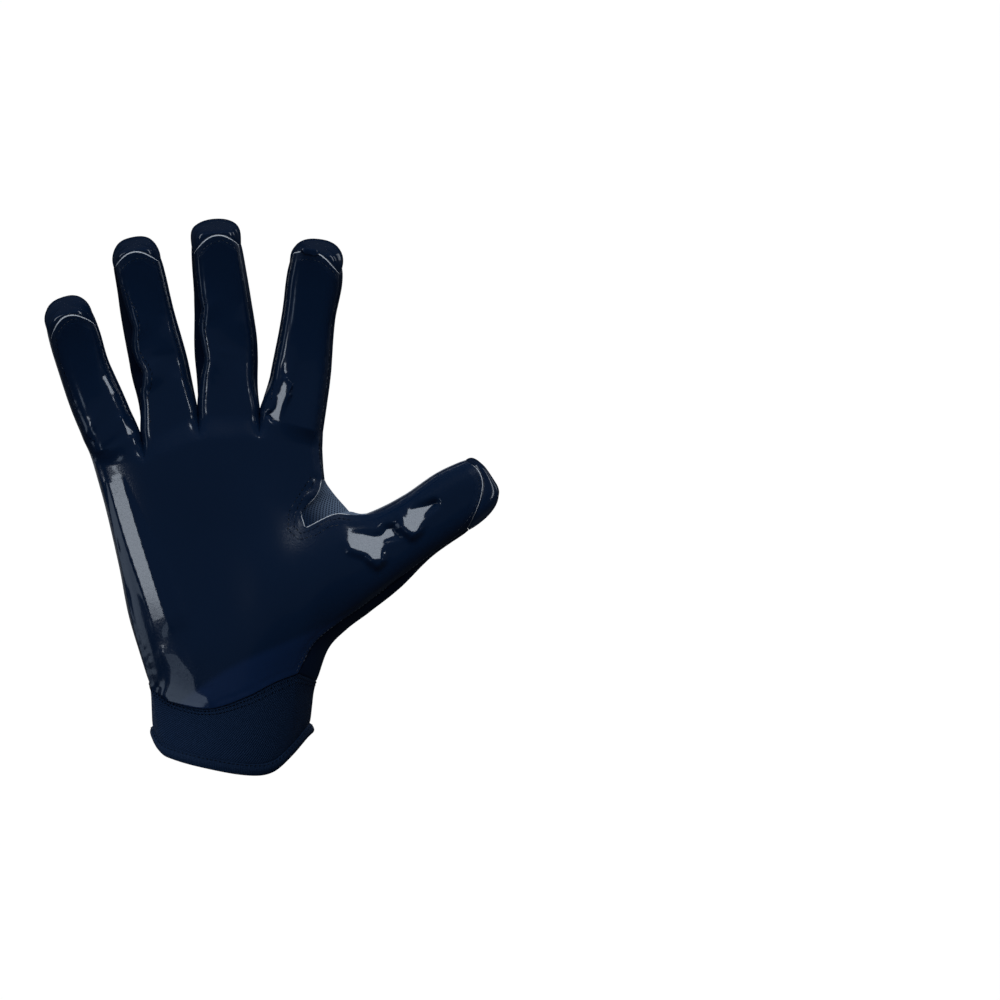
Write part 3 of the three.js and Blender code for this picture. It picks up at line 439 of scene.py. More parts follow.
# Sheets: points, triangles and each corner's place on the cloth in millimetres
def sheetOf(points, turned):
    tall, wide = points.shape[:2]
    a = (np.arange(tall - 1)[:, None] * wide + np.arange(wide - 1)).ravel()
    quad = np.stack([a, a + 1, a + wide + 1, a + wide], 1)
    if turned:
        quad = quad[:, ::-1]
    faces = np.concatenate([quad[:, [0, 1, 2]], quad[:, [0, 2, 3]]])
    stepAcross = np.linalg.norm(np.diff(points, axis=1), axis=2)
    stepUp = np.linalg.norm(np.diff(points, axis=0), axis=2)
    u = np.concatenate([np.zeros((tall, 1)), np.cumsum(stepAcross, 1)], 1)
    u -= u[:, wide // 2:wide // 2 + 1]
    v = np.concatenate([np.zeros(1), np.cumsum(stepUp[:, wide // 2])])[:, None] + np.zeros((1, wide))
    uv = np.stack([u, v], -1).reshape(-1, 2)
    return {"points": points.reshape(-1, 3), "faces": faces, "uv": uv[faces]}


def gridSheet(columns, rows, turned, pointAt):
    s, t = np.meshgrid(columns, rows)
    return sheetOf(pointAt(s, t), turned)


def welded(points):
    # points in the same cube of a micrometre; the small shift keeps round numbers off the cubes' borders
    whole = np.round(points * 1e3 + 0.23).astype(np.int64)
    return np.unique(whole, axis=0, return_index=True, return_inverse=True)


def joined(*parts):
    starts = np.cumsum([0] + [len(p["points"]) for p in parts])
    points = np.concatenate([p["points"] for p in parts])
    faces = np.concatenate([p["faces"] + n for p, n in zip(parts, starts)])
    uv = np.concatenate([p["uv"] for p in parts])
    _, first, place = welded(points)
    faces = place.ravel()[faces]
    whole = (faces[:, 0] != faces[:, 1]) & (faces[:, 1] != faces[:, 2]) & (faces[:, 0] != faces[:, 2])
    return {"points": points[first], "faces": faces[whole], "uv": uv[whole]}


frontSteps = np.linspace(-1, 1, fineness["front"] + 1)
backSteps = np.linspace(-1, 1, fineness["back"] + 1)
sideSteps = np.linspace(-1, 1, fineness["side"] + 1)
gussetTip, gussetTop = hand["gussetTip"], hand["gussetTop"]
palmRows = np.concatenate([np.linspace(0, gussetTip, round(fineness["palm"] * gussetTip) + 1)[:-1],
                           np.linspace(gussetTip, gussetTop,
                                       round(fineness["palm"] * (gussetTop - gussetTip)) + 1)[:-1],
                           np.linspace(gussetTop, 1, round(fineness["palm"] * (1 - gussetTop)) + 1)])
fingerRows = 1 + np.linspace(0, 1, fineness["finger"] + 1) ** fineness["crowding"]
wholeRows = np.concatenate([palmRows, fingerRows[1:]])
thumbRows = np.linspace(0, 1, fineness["thumb"] + 1)
gussetRow = round(thumb["gussetEnd"] * fineness["thumb"])
thumbRows[:gussetRow + 1] *= thumb["gussetEnd"] / thumbRows[gussetRow]
thumbRows[gussetRow:] = np.linspace(thumb["gussetEnd"], 1, fineness["thumb"] - gussetRow + 1)
footRows = palmRows[palmRows <= gussetTip + tiny]
thumbSteps = np.arcsin(np.clip(2 * footRows / gussetTip - 1, -1, 1) * railAside) / hand["panelAngle"]


def capOver(ring, top, place, turned, name):
    # superellipse: spread = cos^(2/n) and lift = sin^(2/n) of the angle; n is the finger's own at the
    # sides, and higher in front and behind, so that the cap stands straight there and folds over sharply
    angle = np.linspace(0, math.pi / 2, fineness["cap"] + 1)[:, None, None]
    middle = ring[:-1].mean(0)
    aside, ahead = np.abs(np.moveaxis(ring - middle, -1, 0)[1:])
    share = smooth(*capSet["frontShare"], ahead / np.maximum(aside + ahead, tiny))
    power = (2 / mix(capSet["outline"][name], capSet["front"], share))[None, :, None]
    spread, lift = np.abs(np.cos(angle)) ** power, np.sin(angle) ** power
    spread[-1] = 0
    along = mix(ring[None, :, :1], top, lift)
    section = mix(middle[1:], ring[None, :, 1:], spread)
    return sheetOf(place(np.concatenate([along, section], -1)), turned)


def ringOf(front, rightWall, back, leftWall):
    return np.concatenate([front[:-1], rightWall[:-1], back[::-1][:-1], leftWall[::-1]])


def fingerCap(finger):
    end = np.array(2.0)
    ring = ringOf(fingerFace(finger, 1, frontSteps, end), fingerWall(finger, 1, sideSteps, end),
                  fingerFace(finger, -1, backSteps, end), fingerWall(finger, -1, sideSteps, end))
    return capOver(ring, capSet["top"], lambda place: inFinger(finger, place), False, finger["name"])


def thumbCap():
    end, every = np.array(1.0), np.ones_like(thumbSteps)
    ring = ringOf(thumbFace(1, thumbSteps, every), thumbWall("upper", sideSteps, end),
                  thumbFace(-1, thumbSteps, every), thumbWall("lower", sideSteps, end))
    return capOver(ring, capSet["thumbTop"], inThumb, True, thumb["name"])


none = np.array(0.0)
seamRing = np.concatenate(
    [strip(n, 1, frontSteps[:-1], np.zeros(fineness["front"])) for n in range(4)]
    + [inThumb(thumbWall("lower", sideSteps[:-1], none))]
    + [strip(n, -1, backSteps[::-1][:-1], np.zeros(fineness["back"])) for n in (3, 2, 1, 0)]
    + [ulnarWall(sideSteps[::-1], np.zeros(len(sideSteps)))])


# The way round the wrist at each point of the seam, from the thumb's side over the palm's
wristAngle = np.arctan2(-seamRing[:, 1] / hand["heelThickness"], seamRing[:, 0] / cuffSet["seamBreadth"])


def hemSpot(below):
    # the wrist opening is an ellipse, and its height follows the hem's line
    line, aside = cuffSet["hemLine"], np.cos(wristAngle)
    height = np.where(wristAngle > 0, readTable(line, "front", aside), readTable(line, "back", aside))
    return stack(aside * cuffSet["breadth"] / 2, -np.sin(wristAngle) * cuffSet["thickness"] / 2,
                 height * cuffSet["seamHeight"] + cuffSet["hemWidth"] / 2 - below)


def cuffRows():
    # straight down from the seam to the hem, times the waist's girth
    w = np.linspace(0, 1, fineness["cuff"] + 1)[:, None, None]
    girth = readTable(cuffSet["waist"], "girth", w)
    return mix(seamRing, hemSpot(0), w) * np.concatenate([girth, girth, np.ones_like(girth)], -1)


def hemRows():
    # the binding's band stands out by 4 w (1 - w) of its roll, and more where its two ends lap over each
    # other at the thumb's side
    w = np.linspace(0, 1, fineness["hem"] + 1)[:, None]
    roll = cuffSet["hemRoll"] + cuffSet["hemLap"] * bell(wristAngle - cuffSet["lapAt"], cuffSet["lapWide"])
    out = 1 + roll * 4 * w * (1 - w) / (cuffSet["breadth"] / 2)
    spot = np.stack([hemSpot(cuffSet["hemWidth"] * k) for k in w[:, 0]])
    return spot * np.stack([out, out, np.ones_like(out)], -1)


def fingerSide(number, side):
    return lambda v, t: inFinger(digits[number], fingerWall(digits[number], side, v, t))


def thumbSide(end):
    return lambda v, w: inThumb(thumbWall(end, v, w))


def fourchette(number):  # one strip: a finger's right side and the left side of the next
    return joined(gridSheet(sideSteps, fingerRows, False, fingerSide(number, 1)),
                  gridSheet(sideSteps, fingerRows, True, fingerSide(number + 1, -1)))


sheets = {
    "palm_panel": joined(
        *(gridSheet(frontSteps, wholeRows, False, lambda s, t, n=n: strip(n, 1, s, t)) for n in range(4)),
        gridSheet(thumbSteps, thumbRows, True, lambda s, w: inThumb(thumbFace(1, s, w)))),
    "back_panel": joined(
        *(gridSheet(backSteps, wholeRows, True, lambda s, t, n=n: strip(n, -1, s, t)) for n in range(4)),
        gridSheet(thumbSteps, thumbRows, False, lambda s, w: inThumb(thumbFace(-1, s, w)))),
    "ulnar_side": joined(gridSheet(sideSteps, wholeRows, True, ulnarWall)),
    "fourchette_little_ring": fourchette(0),
    "fourchette_ring_middle": fourchette(1),
    "fourchette_middle_index": fourchette(2),
    "index_side": joined(gridSheet(sideSteps, wholeRows[wholeRows >= gussetTop - tiny], False, indexWall)),
    "thumb_gusset": joined(
        gridSheet(sideSteps, palmRows[(palmRows >= gussetTip - tiny) & (palmRows <= gussetTop + tiny)],
                  False, indexWall),
        gridSheet(sideSteps, thumbRows[:gussetRow + 1], True, thumbSide("upper"))),
    "thumb_side_upper": joined(gridSheet(sideSteps, thumbRows[gussetRow:], True, thumbSide("upper"))),
    "thumb_side_lower": joined(gridSheet(sideSteps, thumbRows, False, thumbSide("lower"))),
    **{"cap_" + finger["name"]: joined(fingerCap(finger)) for finger in digits},
    "cap_thumb": joined(thumbCap()),
    "cuff": joined(sheetOf(cuffRows(), True)),
    "hem_binding": joined(sheetOf(hemRows(), True)),
}
print("sheets worked out,", sum(len(s["faces"]) for s in sheets.values()), "triangles")


def shareNormals():
    # the sum of the faces' normals round each place, over all the sheets that meet there
    points = np.concatenate([s["points"] for s in sheets.values()])
    starts = np.cumsum([0] + [len(s["points"]) for s in sheets.values()])
    keys, _, place = welded(points)
    place = place.ravel()
    total = np.zeros((len(keys), 3))
    for sheet, start in zip(sheets.values(), starts):
        a, b, c = (sheet["points"][sheet["faces"][:, i]] for i in range(3))
        normal = np.cross(b - a, c - a)
        for i in range(3):
            np.add.at(total, place[start + sheet["faces"][:, i]], normal)
    total = unit(total)
    for sheet, start in zip(sheets.values(), starts):
        sheet["normals"] = total[place[start:start + len(sheet["points"])]]


def boundaryOf(faces, count):
    # the directed edges that only one face uses
    edges = np.concatenate([faces[:, [0, 1]], faces[:, [1, 2]], faces[:, [2, 0]]])
    key = np.sort(edges, 1) @ np.array([count, 1])
    _, place, uses = np.unique(key, return_inverse=True, return_counts=True)
    lone = uses[place.ravel()] == 1
    owner = np.tile(np.arange(len(faces)), 3)
    return edges[lone], owner[lone]


def edgeAway(sheet):
    # distance from every point to the nearest point of the sheet's own border
    border = sheet["points"][np.unique(boundaryOf(sheet["faces"], len(sheet["points"]))[0])]
    away = np.empty(len(sheet["points"]))
    for start in range(0, len(away), 2000):
        block = sheet["points"][start:start + 2000]
        square = (block ** 2).sum(1)[:, None] + (border ** 2).sum(1) - 2 * block @ border.T
        away[start:start + 2000] = np.sqrt(np.maximum(square.min(1), 0))
    return away


# Soft noise on a lattice of random values. Its levels: fineness and weight of each
noiseSet = {"side": 32, "levels": ((1, 0.6), (2.1, 0.28), (4.3, 0.12)), "apart": 7.3}
noiseTable = np.random.default_rng(7).uniform(-1, 1, [noiseSet["side"]] * 3)


def softNoise(points, size, shift=0.0):
    # each level mixes the eight values round a point by 3k² - 2k³ of its place between them
    total = np.zeros(len(points))
    for level, weight in noiseSet["levels"]:
        spot = points / size * level + shift + noiseSet["apart"] * level
        low = np.floor(spot).astype(int)
        k = spot - low
        k = k * k * (3 - 2 * k)
        value = np.zeros(len(points))
        for corner in np.ndindex(2, 2, 2):
            i = (low + corner) % noiseSet["side"]
            share = np.prod(np.where(np.array(corner) == 1, k, 1 - k), axis=1)
            value += noiseTable[i[:, 0], i[:, 1], i[:, 2]] * share
        total += weight * value
    return total


# Folds and dents of the palm side: place x and z, half length, half breadth, turn from +X in degrees, rise
folds = [
    (-57, 128, 9, 2.2, 60, 0.5), (-49, 122, 8, 2.0, 40, -0.4), (23, 148, 12, 2.2, 78, 0.5),
    (57, 83, 9, 3.0, -35, 0.5), (76, 94, 8, 2.6, 40, 0.4), (-14, 38, 12, 5, 75, 0.4),
    (33, 103, 5, 1.6, 30, 0.5), (36, 108, 4, 1.4, -35, -0.5), (31, 97, 5, 1.6, 75, 0.4),
    (-32, 150, 6, 2.0, 20, 0.25), (-29, 158, 5, 1.8, 10, -0.2), (-2, 160, 6, 2.0, -10, 0.2),
]
# Places where the taut coating lies flat: the azimuth and elevation that the flat faces, how far its
# edge runs out in millimetres, and its outline's corners in x and z
flatSpots = [
    # on the index finger's root
    (-19.6, -1.7, 1.0, [(22.0, 149.4), (24.0, 146.8), (23.7, 142.8), (22.0, 138.8), (20.8, 134.8),
     (19.4, 133.6), (19.4, 132.0), (17.2, 132.2), (14.8, 134.8), (15.4, 136.0), (17.2, 136.5),
     (18.8, 141.1), (20.0, 146.2)]),
    (-19.6, -2.3, 1.0, [(22.0, 156.8), (23.0, 155.4), (22.8, 152.0), (22.0, 150.8), (21.2, 152.5),
     (21.4, 155.4)]),
    # on the little finger
    (30.7, 6.9, 0.9, [(-51.2, 150.8), (-50.0, 151.0), (-48.6, 148.3), (-46.4, 143.8), (-46.8, 142.7),
     (-48.0, 143.6), (-50.0, 146.8)]),
    (30.5, 7.7, 0.9, [(-44.2, 134.0), (-43.2, 133.6), (-41.5, 130.3), (-39.2, 127.8), (-39.2, 126.6),
     (-41.0, 126.7), (-42.5, 129.3), (-43.8, 132.0)]),
    # on the heel
    (-11.2, -4.7, 5.0, [(-25.7, 39.6), (-22.8, 33.4), (-23.4, 27.6), (-25.2, 23.4), (-22.6, 18.2),
     (-8.6, 20.2), (-9.2, 22.0), (-14.3, 23.6), (-14.8, 30.0), (-18.8, 34.5), (-21.7, 39.1)]),
    # on the thumb
    (5.6, 19.3, 4.5, [(47.3, 84.5), (49.0, 87.1), (52.7, 87.1), (57.7, 86.1), (60.7, 86.5), (62.7, 89.5),
     (66.0, 89.5), (66.0, 86.5), (61.3, 84.8), (60.3, 81.5), (60.3, 76.8), (58.8, 75.3), (57.0, 76.8),
     (54.7, 79.5), (51.3, 80.5), (48.3, 81.5)]),
    (4.9, 19.0, 4.5, [(69.3, 93.8), (71.0, 93.1), (71.7, 96.5), (75.3, 97.8), (78.7, 98.3), (81.7, 99.3),
     (78.0, 95.5), (76.7, 92.5), (75.3, 89.1), (73.0, 86.9), (69.2, 90.5)]),
]
# Only points that face the front are moved onto a flat, by so many millimetres at most, and the seam's dip
# is mostly lost there
flatLimits = {"front": -0.2, "leastLean": 0.3, "most": 2.2, "dipLost": 0.85}
# The long flat down the little finger's side of the palm: its two ends in x and z, its half breadth at
# each, the way that it faces, the azimuths of the planes on either side of it, and how it ends
ulnarFlat = {
    "top": (-46.4, 110.0), "foot": (-28.6, 54.6), "half": (3.3, 2.9), "azimuth": -17.6, "elevation": 0.8,
    "leftAzimuth": -41, "rightAzimuth": 0, "most": 2.0, "topFade": (0, 1.2), "footFade": (1, 10),
    "sideFade": (8, 13), "borderFade": (0, 2.5), "reliefKept": 0.3,
}
# Soft unevenness in millimetres, and where it starts: facing the front, above the knuckles, on the thumb
# and above the wrist
unevenness = {
    "palm": 0.03, "digits": 0.1, "size": 12.0, "fine": 0.02, "fineSize": 4.0, "fineShift": 0.4,
    "pucker": 0.11, "puckerSize": 2.4, "puckerShift": 0.8, "puckerReach": 3.6,
    "facing": (-0.15, 0.45), "fingers": (118, 134), "thumb": (38, 52), "hand": (12, 30),
}


def turnedBell(points, x, z, long, wide, turn):
    # a bell along a line through x and z that is turned from +X by so many degrees, times one across it
    a = math.radians(turn)
    dx, dz = points[:, 0] - x, points[:, 2] - z
    return bell(dx * math.cos(a) + dz * math.sin(a), long) * bell(dz * math.cos(a) - dx * math.sin(a), wide)


def relief(points, normals):
    # each fold is a bell across and along its own line; a soft unevenness lies over the whole
    height = np.zeros(len(points))
    for *line, rise in folds:
        height += rise * turnedBell(points, *line)
    height *= smooth(*unevenness["facing"], -normals[:, 1])
    x, z = points[:, 0], points[:, 2]
    onDigits = np.maximum(smooth(*unevenness["fingers"], z), smooth(*unevenness["thumb"], x))
    strength = smooth(*unevenness["hand"], z) * mix(unevenness["palm"], unevenness["digits"], onDigits)
    broad = strength * softNoise(points, unevenness["size"])
    fine = unevenness["fine"] * onDigits * softNoise(points, unevenness["fineSize"], unevenness["fineShift"])
    return height + broad + fine


def facing(azimuth, elevation):  # azimuth in degrees from straight in front towards +X
    a, e = math.radians(azimuth), math.radians(elevation)
    return np.array([math.sin(a) * math.cos(e), -math.cos(a) * math.cos(e), math.sin(e)])


def lineGap(flat, corners, closed):
    # distance from each flat place to the nearest part of a line of straight stretches
    corners = np.array(corners, float)
    first, last = (corners, np.roll(corners, -1, 0)) if closed else (corners[:-1], corners[1:])
    run = last - first
    away = flat[:, None] - first
    k = np.clip((away * run).sum(2) / (run ** 2).sum(1), 0, 1)
    return np.linalg.norm(away - k[..., None] * run, axis=2).min(1)


def withinOutline(flat, corners):
    # a line to +x crosses the outline an odd number of times from inside it
    first = np.array(corners, float)
    last = np.roll(first, -1, 0)
    passes = (first[:, 1] > flat[:, 1:]) != (last[:, 1] > flat[:, 1:])
    tall = np.where(last[:, 1] == first[:, 1], tiny, last[:, 1] - first[:, 1])
    meets = first[:, 0] + (flat[:, 1:] - first[:, 1]) * (last[:, 0] - first[:, 0]) / tall
    return (passes & (flat[:, :1] < meets)).sum(1) % 2 == 1


def laidFlat(points, normals):
    # inside its outline a spot's points move along their normals onto the plane that faces its way
    height, inside = np.zeros(len(points)), np.zeros(len(points))
    flat, front = points[:, [0, 2]], normals[:, 1] < flatLimits["front"]
    for azimuth, elevation, reach, corners in flatSpots:
        low, high = np.min(corners, 0) - reach, np.max(corners, 0) + reach
        near = np.flatnonzero(front & (flat >= low).all(1) & (flat <= high).all(1))
        gap = np.where(withinOutline(flat[near], corners), 0, lineGap(flat[near], corners, True))
        share = 1 - smooth(0, reach, gap)
        way = facing(azimuth, elevation)
        centre = np.mean(corners, 0)
        middle = points[near[np.argmin(((flat[near] - centre) ** 2).sum(1))]]
        lean = np.maximum(normals[near] @ way, flatLimits["leastLean"])
        lift = np.clip((middle - points[near]) @ way / lean, -flatLimits["most"], flatLimits["most"])
        height[near] = mix(height[near], lift, share)
        inside[near] = np.maximum(inside[near], share)
    return height, inside


def ulnarLaidFlat(points, normals):
    # three planes that touch the palm from outside: the band, and one that falls away on either side of
    # it by the tangent of its turn; all of it fades out at both ends and to the sides
    top, foot = np.array(ulnarFlat["top"]), np.array(ulnarFlat["foot"])
    length = np.linalg.norm(foot - top)
    onward = (foot - top) / length
    flat = points[:, [0, 2]] - top
    u, v = flat @ np.array([-onward[1], onward[0]]), flat @ onward
    half = mix(*ulnarFlat["half"], np.clip(v / length, 0, 1))
    front = normals[:, 1] < flatLimits["front"]
    way = facing(ulnarFlat["azimuth"], ulnarFlat["elevation"])
    off = points @ way
    band = front & (np.abs(u) < half) & (v > 0) & (v < length)
    above = (off[band].max() - off) / np.maximum(normals @ way, flatLimits["leastLean"])
    for side, azimuth in ((1, ulnarFlat["rightAzimuth"]), (-1, ulnarFlat["leftAzimuth"])):
        fall = math.tan(math.radians(abs(azimuth - ulnarFlat["azimuth"])))
        above = above - fall * np.maximum(side * u - half, 0)
    end = smooth(*ulnarFlat["topFade"], v) * (1 - smooth(*ulnarFlat["footFade"], v - length))
    share = end * front * (1 - smooth(*ulnarFlat["sideFade"], np.abs(u)))
    return np.clip(above, 0, ulnarFlat["most"]), share


def relaxed(sheet, weight, rounds):
    # each point moves by its weight towards the mean of its neighbours; the border stays
    points, faces = sheet["points"].copy(), sheet["faces"]
    edges = np.concatenate([faces[:, [0, 1]], faces[:, [1, 2]], faces[:, [2, 0]]])
    edges = np.concatenate([edges, edges[:, ::-1]])
    count = np.maximum(np.bincount(edges[:, 0], minlength=len(points)), 1)[:, None]
    weight = weight.copy()
    weight[np.unique(boundaryOf(faces, len(points))[0])] = 0
    for _ in range(rounds):
        sums = [np.bincount(edges[:, 0], points[edges[:, 1], i], len(points)) for i in range(3)]
        points += (np.stack(sums, 1) / count - points) * weight[:, None]
    return points


def nearSpot(points, spot):
    # a bell of the distance from a place in x and z
    return bell(np.hypot(points[:, 0] - spot["at"][0], points[:, 2] - spot["at"][1]), spot["wide"])


# Where the two panels are drawn smooth: along the thumb's foot, so that it runs into the palm without a
# crease, and under the gusset's tip, where the coating also stays calm and dull
easing = {
    "foot": {"x": 30, "wide": 9, "low": (20, 50), "high": (95, 112), "weight": 0.9, "rounds": 60},
    "tip": {"at": (30, 87), "wide": 8, "weight": 0.95, "rounds": 150},
    "calm": {"at": (30.5, 87), "wide": 5}, "dull": {"at": (29, 88), "wide": 7},
}
foot, tip = easing["foot"], easing["tip"]
for name in ("palm_panel", "back_panel"):
    x, z = sheets[name]["points"][:, 0], sheets[name]["points"][:, 2]
    nearFoot = bell(x - foot["x"], foot["wide"]) * smooth(*foot["low"], z) * (1 - smooth(*foot["high"], z))
    sheets[name]["points"] = relaxed(sheets[name], foot["weight"] * nearFoot, foot["rounds"])
    nearTip = nearSpot(sheets[name]["points"], tip)
    sheets[name]["points"] = relaxed(sheets[name], tip["weight"] * nearTip, tip["rounds"])
shareNormals()

# The seams lie lower: a bell of the distance from the border, and one along the stitched row
seamDip = {"depth": 0.14, "wide": 1.8, "rowDepth": 0.1, "row": 2.4, "rowWide": 0.75, "reliefFrom": (-1, 3)}
for name, sheet in sheets.items():
    sheet["plain"], sheet["away"] = sheet["points"], edgeAway(sheet)
    away = sheet["away"]
    lift = relief(sheet["plain"], sheet["normals"]) * smooth(*seamDip["reliefFrom"], away)
    dip = seamDip["depth"] * bell(away, seamDip["wide"])
    if name == "palm_panel":  # the stitched row presses the coating down, and it puckers beside it
        dip += seamDip["rowDepth"] * bell(away - seamDip["row"], seamDip["rowWide"])
        lift += (unevenness["pucker"] * bell(away - seamDip["row"], unevenness["puckerReach"])
                 * softNoise(sheet["plain"], unevenness["puckerSize"], unevenness["puckerShift"]))
        height, inside = laidFlat(sheet["plain"], sheet["normals"])
        dip *= 1 - flatLimits["dipLost"] * inside
        lift = mix(lift, height, inside)
        height, within = ulnarLaidFlat(sheet["plain"], sheet["normals"])
        within *= smooth(*ulnarFlat["borderFade"], away)
        lift = mix(lift, height + ulnarFlat["reliefKept"] * lift, within)
        rough = 1 - nearSpot(sheet["plain"], easing["calm"])
        lift, dip = lift * rough, dip * rough
        sheet["inside"] = inside
    sheet["points"] = sheet["plain"] + sheet["normals"] * (lift - dip)[:, None]
shareNormals()
print("folds and seams laid in")

# Where the coated panel's cut edge is left pale: lines in x and z. It is dyed dark everywhere else
paleEdges = [
    [(-71.6, 164.0), (-70.4, 169.2), (-68.0, 172.8), (-64.0, 174.8), (-59.2, 175.6), (-56.0, 174.4),
     (-53.2, 170.8)],
    [(-45.6, 192.8), (-43.6, 196.4), (-39.6, 199.2), (-34.8, 200.4), (-30.8, 198.8), (-27.6, 195.6)],
    [(-40.0, 174.8), (-39.2, 170.8), (-40.0, 162.8), (-38.8, 158.0), (-37.2, 156.0)],
    [(-34.4, 153.6), (-34.0, 150.8), (-34.8, 146.8), (-36.0, 142.8)],
    [(-15.2, 198.0), (-13.2, 202.0), (-9.2, 205.2), (-4.0, 206.4), (1.2, 205.2), (4.0, 202.4)],
    [(-13.2, 184.8), (-11.6, 179.2), (-12.8, 172.0)],
    [(-11.6, 164.4), (-10.0, 158.4), (-11.6, 151.6), (-12.4, 144.8)],
    [(26.8, 198.8), (30.8, 200.0), (36.0, 198.4), (41.2, 195.2), (44.4, 190.8)],
    [(16.4, 150.4), (16.4, 146.8), (14.4, 144.0), (14.3, 138.4)],
    [(-13.6, 136.8), (-11.6, 135.2)],
    [(99.2, 117.2), (101.6, 110.8), (102.4, 105.6), (101.2, 99.6), (98.8, 94.8), (95.2, 90.4),
     (90.8, 86.0)],
    [(36.4, 106.0), (34.0, 102.8), (30.4, 98.4), (28.2, 94.4), (28.0, 92.4), (28.8, 90.0), (31.0, 89.8),
     (35.0, 92.8), (38.4, 95.2), (42.4, 96.2), (45.6, 95.8)],
]
# Where the coating is grained and shines less, and where a painted reflection makes it a shade lighter, at
# the heel of the hand, under a line that bends down to the left
grainPatches = [(-29.5, 51, 9, 6, -70), (-24, 38, 10, 7, -50), (-12, 30, 12, 6, -10)]
heelPaintedReflection = {"from": (-14, 28), "to": (34, 49), "soft": 1.6, "bend": 0.006, "bendFrom": 10}
# How far the pale cut edge and the dull sewn border reach, and where the border starts on the fingers and
# on the thumb
borderSet = {"raw": (1.6, 3.2), "dull": (2.2, 4.2), "fingers": (112, 124), "thumb": ((24, 40), (60, 80))}


def coatingValues(points, away, inside):
    flat = points[:, [0, 2]]
    gap = np.min([lineGap(flat, line, False) for line in paleEdges], 0)
    grain = np.zeros(len(points))
    for patch in grainPatches:
        grain = np.maximum(grain, turnedBell(points, *patch))
    # the heel's painted reflection: lighter under a line that bends down to the left
    first, last = np.array(heelPaintedReflection["from"]), np.array(heelPaintedReflection["to"])
    run = (last - first) / np.linalg.norm(last - first)
    below = (flat[:, 0] - first[0]) * run[1] - (flat[:, 1] - first[1]) * run[0]
    bend = heelPaintedReflection["bend"] * np.minimum(flat[:, 0] - heelPaintedReflection["bendFrom"], 0) ** 2
    # the sewn borders of the fingers and the thumb are creased and dull
    thumbX, thumbZ = borderSet["thumb"]
    onDigits = np.maximum(smooth(*borderSet["fingers"], points[:, 2]),
                          smooth(*thumbX, points[:, 0]) * smooth(*thumbZ, points[:, 2]))
    border = (1 - smooth(*borderSet["dull"], away)) * onDigits * (1 - inside)
    border = np.maximum(border, nearSpot(points, easing["dull"]))
    # heel is the mask of the painted reflection at the heel
    return {"raw": 1 - smooth(*borderSet["raw"], gap), "grain": grain, "border": border,
            "heel": smooth(-heelPaintedReflection["soft"], heelPaintedReflection["soft"], below - bend)}


sheets["palm_panel"]["values"] = coatingValues(*(
    sheets["palm_panel"][key] for key in ("plain", "away", "inside")))
# The gusset is stretched thinner away from its inner end
gussetThin = {"from": (28.5, 92), "way": (0.83, 0.56), "reach": (2, 15)}
gussetSpot = sheets["thumb_gusset"]["plain"][:, [0, 2]] - gussetThin["from"]
gussetRun = gussetSpot @ np.array(gussetThin["way"])
sheets["thumb_gusset"]["values"] = {"thin": smooth(*gussetThin["reach"], gussetRun)}


def shellOf(sheet, rim, wall):
    # outer and inner surfaces with a rim between them. rim is a list of (inwards, up) from the sheet
    points, faces, normals = sheet["points"], sheet["faces"], sheet["normals"]
    count = len(points)
    edges, owner = boundaryOf(faces, count)
    border = np.unique(edges)
    pull, run = np.zeros((count, 3)), np.zeros((count, 3))
    centre = points[faces].mean(1)
    for i in range(2):
        np.add.at(pull, edges[:, i], centre[owner] - points[edges[:, i]])
        np.add.at(run, edges[:, i], unit(points[edges[:, 1]] - points[edges[:, 0]]))
    run = unit(run)
    pull -= run * (pull * run).sum(1)[:, None]
    pull -= normals * (pull * normals).sum(1)[:, None]
    pull = unit(pull)
    outer = points + normals * rim[0][1]
    inner = points - normals * wall
    isBorder = np.zeros(count, bool)
    isBorder[border] = True
    outer[isBorder] += pull[isBorder] * rim[0][0]
    inner[isBorder] += pull[isBorder] * rim[-1][0]
    place = np.full(count, -1)
    place[border] = np.arange(len(border))
    rows = [border]  # each row's vertex numbers
    extra = []
    for j, (inwards, up) in enumerate(rim[1:-1]):
        extra.append(points[border] + pull[border] * inwards + normals[border] * up)
        rows.append(2 * count + j * len(border) + np.arange(len(border)))
    rows.append(border + count)
    allPoints = np.concatenate([outer, inner, *extra])
    a, b = place[edges[:, 0]], place[edges[:, 1]]
    sides = []
    for upper, lower in zip(rows, rows[1:]):
        sides += [np.stack([upper[b], upper[a], lower[a]], 1), np.stack([upper[b], lower[a], lower[b]], 1)]
    sides = np.concatenate(sides)
    allFaces = np.concatenate([faces, faces[:, [0, 2, 1]] + count, sides])
    uv = np.concatenate([sheet["uv"], sheet["uv"][:, [0, 2, 1]], np.zeros((len(sides), 3, 2))])
    isRim = np.zeros(len(allFaces), int)
    isRim[2 * len(faces):] = 1
    source = np.concatenate([np.arange(count), np.arange(count), np.tile(border, len(rim) - 2)])
    return allPoints, allFaces, uv, isRim, source


def meshOf(name, points, faces, uv=None, slots=None, values=None, sharp=50):
    data = bpy.data.meshes.new(name)
    data.vertices.add(len(points))
    data.vertices.foreach_set("co", (points * toMetres).astype(np.float32).ravel())
    data.loops.add(faces.size)
    data.loops.foreach_set("vertex_index", faces.astype(np.int32).ravel())
    data.polygons.add(len(faces))
    data.polygons.foreach_set("loop_start", np.arange(0, faces.size, 3, dtype=np.int32))
    if slots is not None:
        data.polygons.foreach_set("material_index", slots.astype(np.int32))
    data.update(calc_edges=True)
    data.polygons.foreach_set("use_smooth", np.ones(len(faces), bool))
    if uv is not None:
        data.uv_layers.new(name="cloth").data.foreach_set("uv", uv.astype(np.float32).ravel())
    for key, value in (values or {}).items():
        data.attributes.new(key, "FLOAT", "POINT").data.foreach_set("value", value.astype(np.float32))
    data.validate()
    data.set_sharp_from_angle(angle=math.radians(sharp))
    piece = bpy.data.objects.new(name, data)
    bpy.context.scene.collection.objects.link(piece)
    return piece


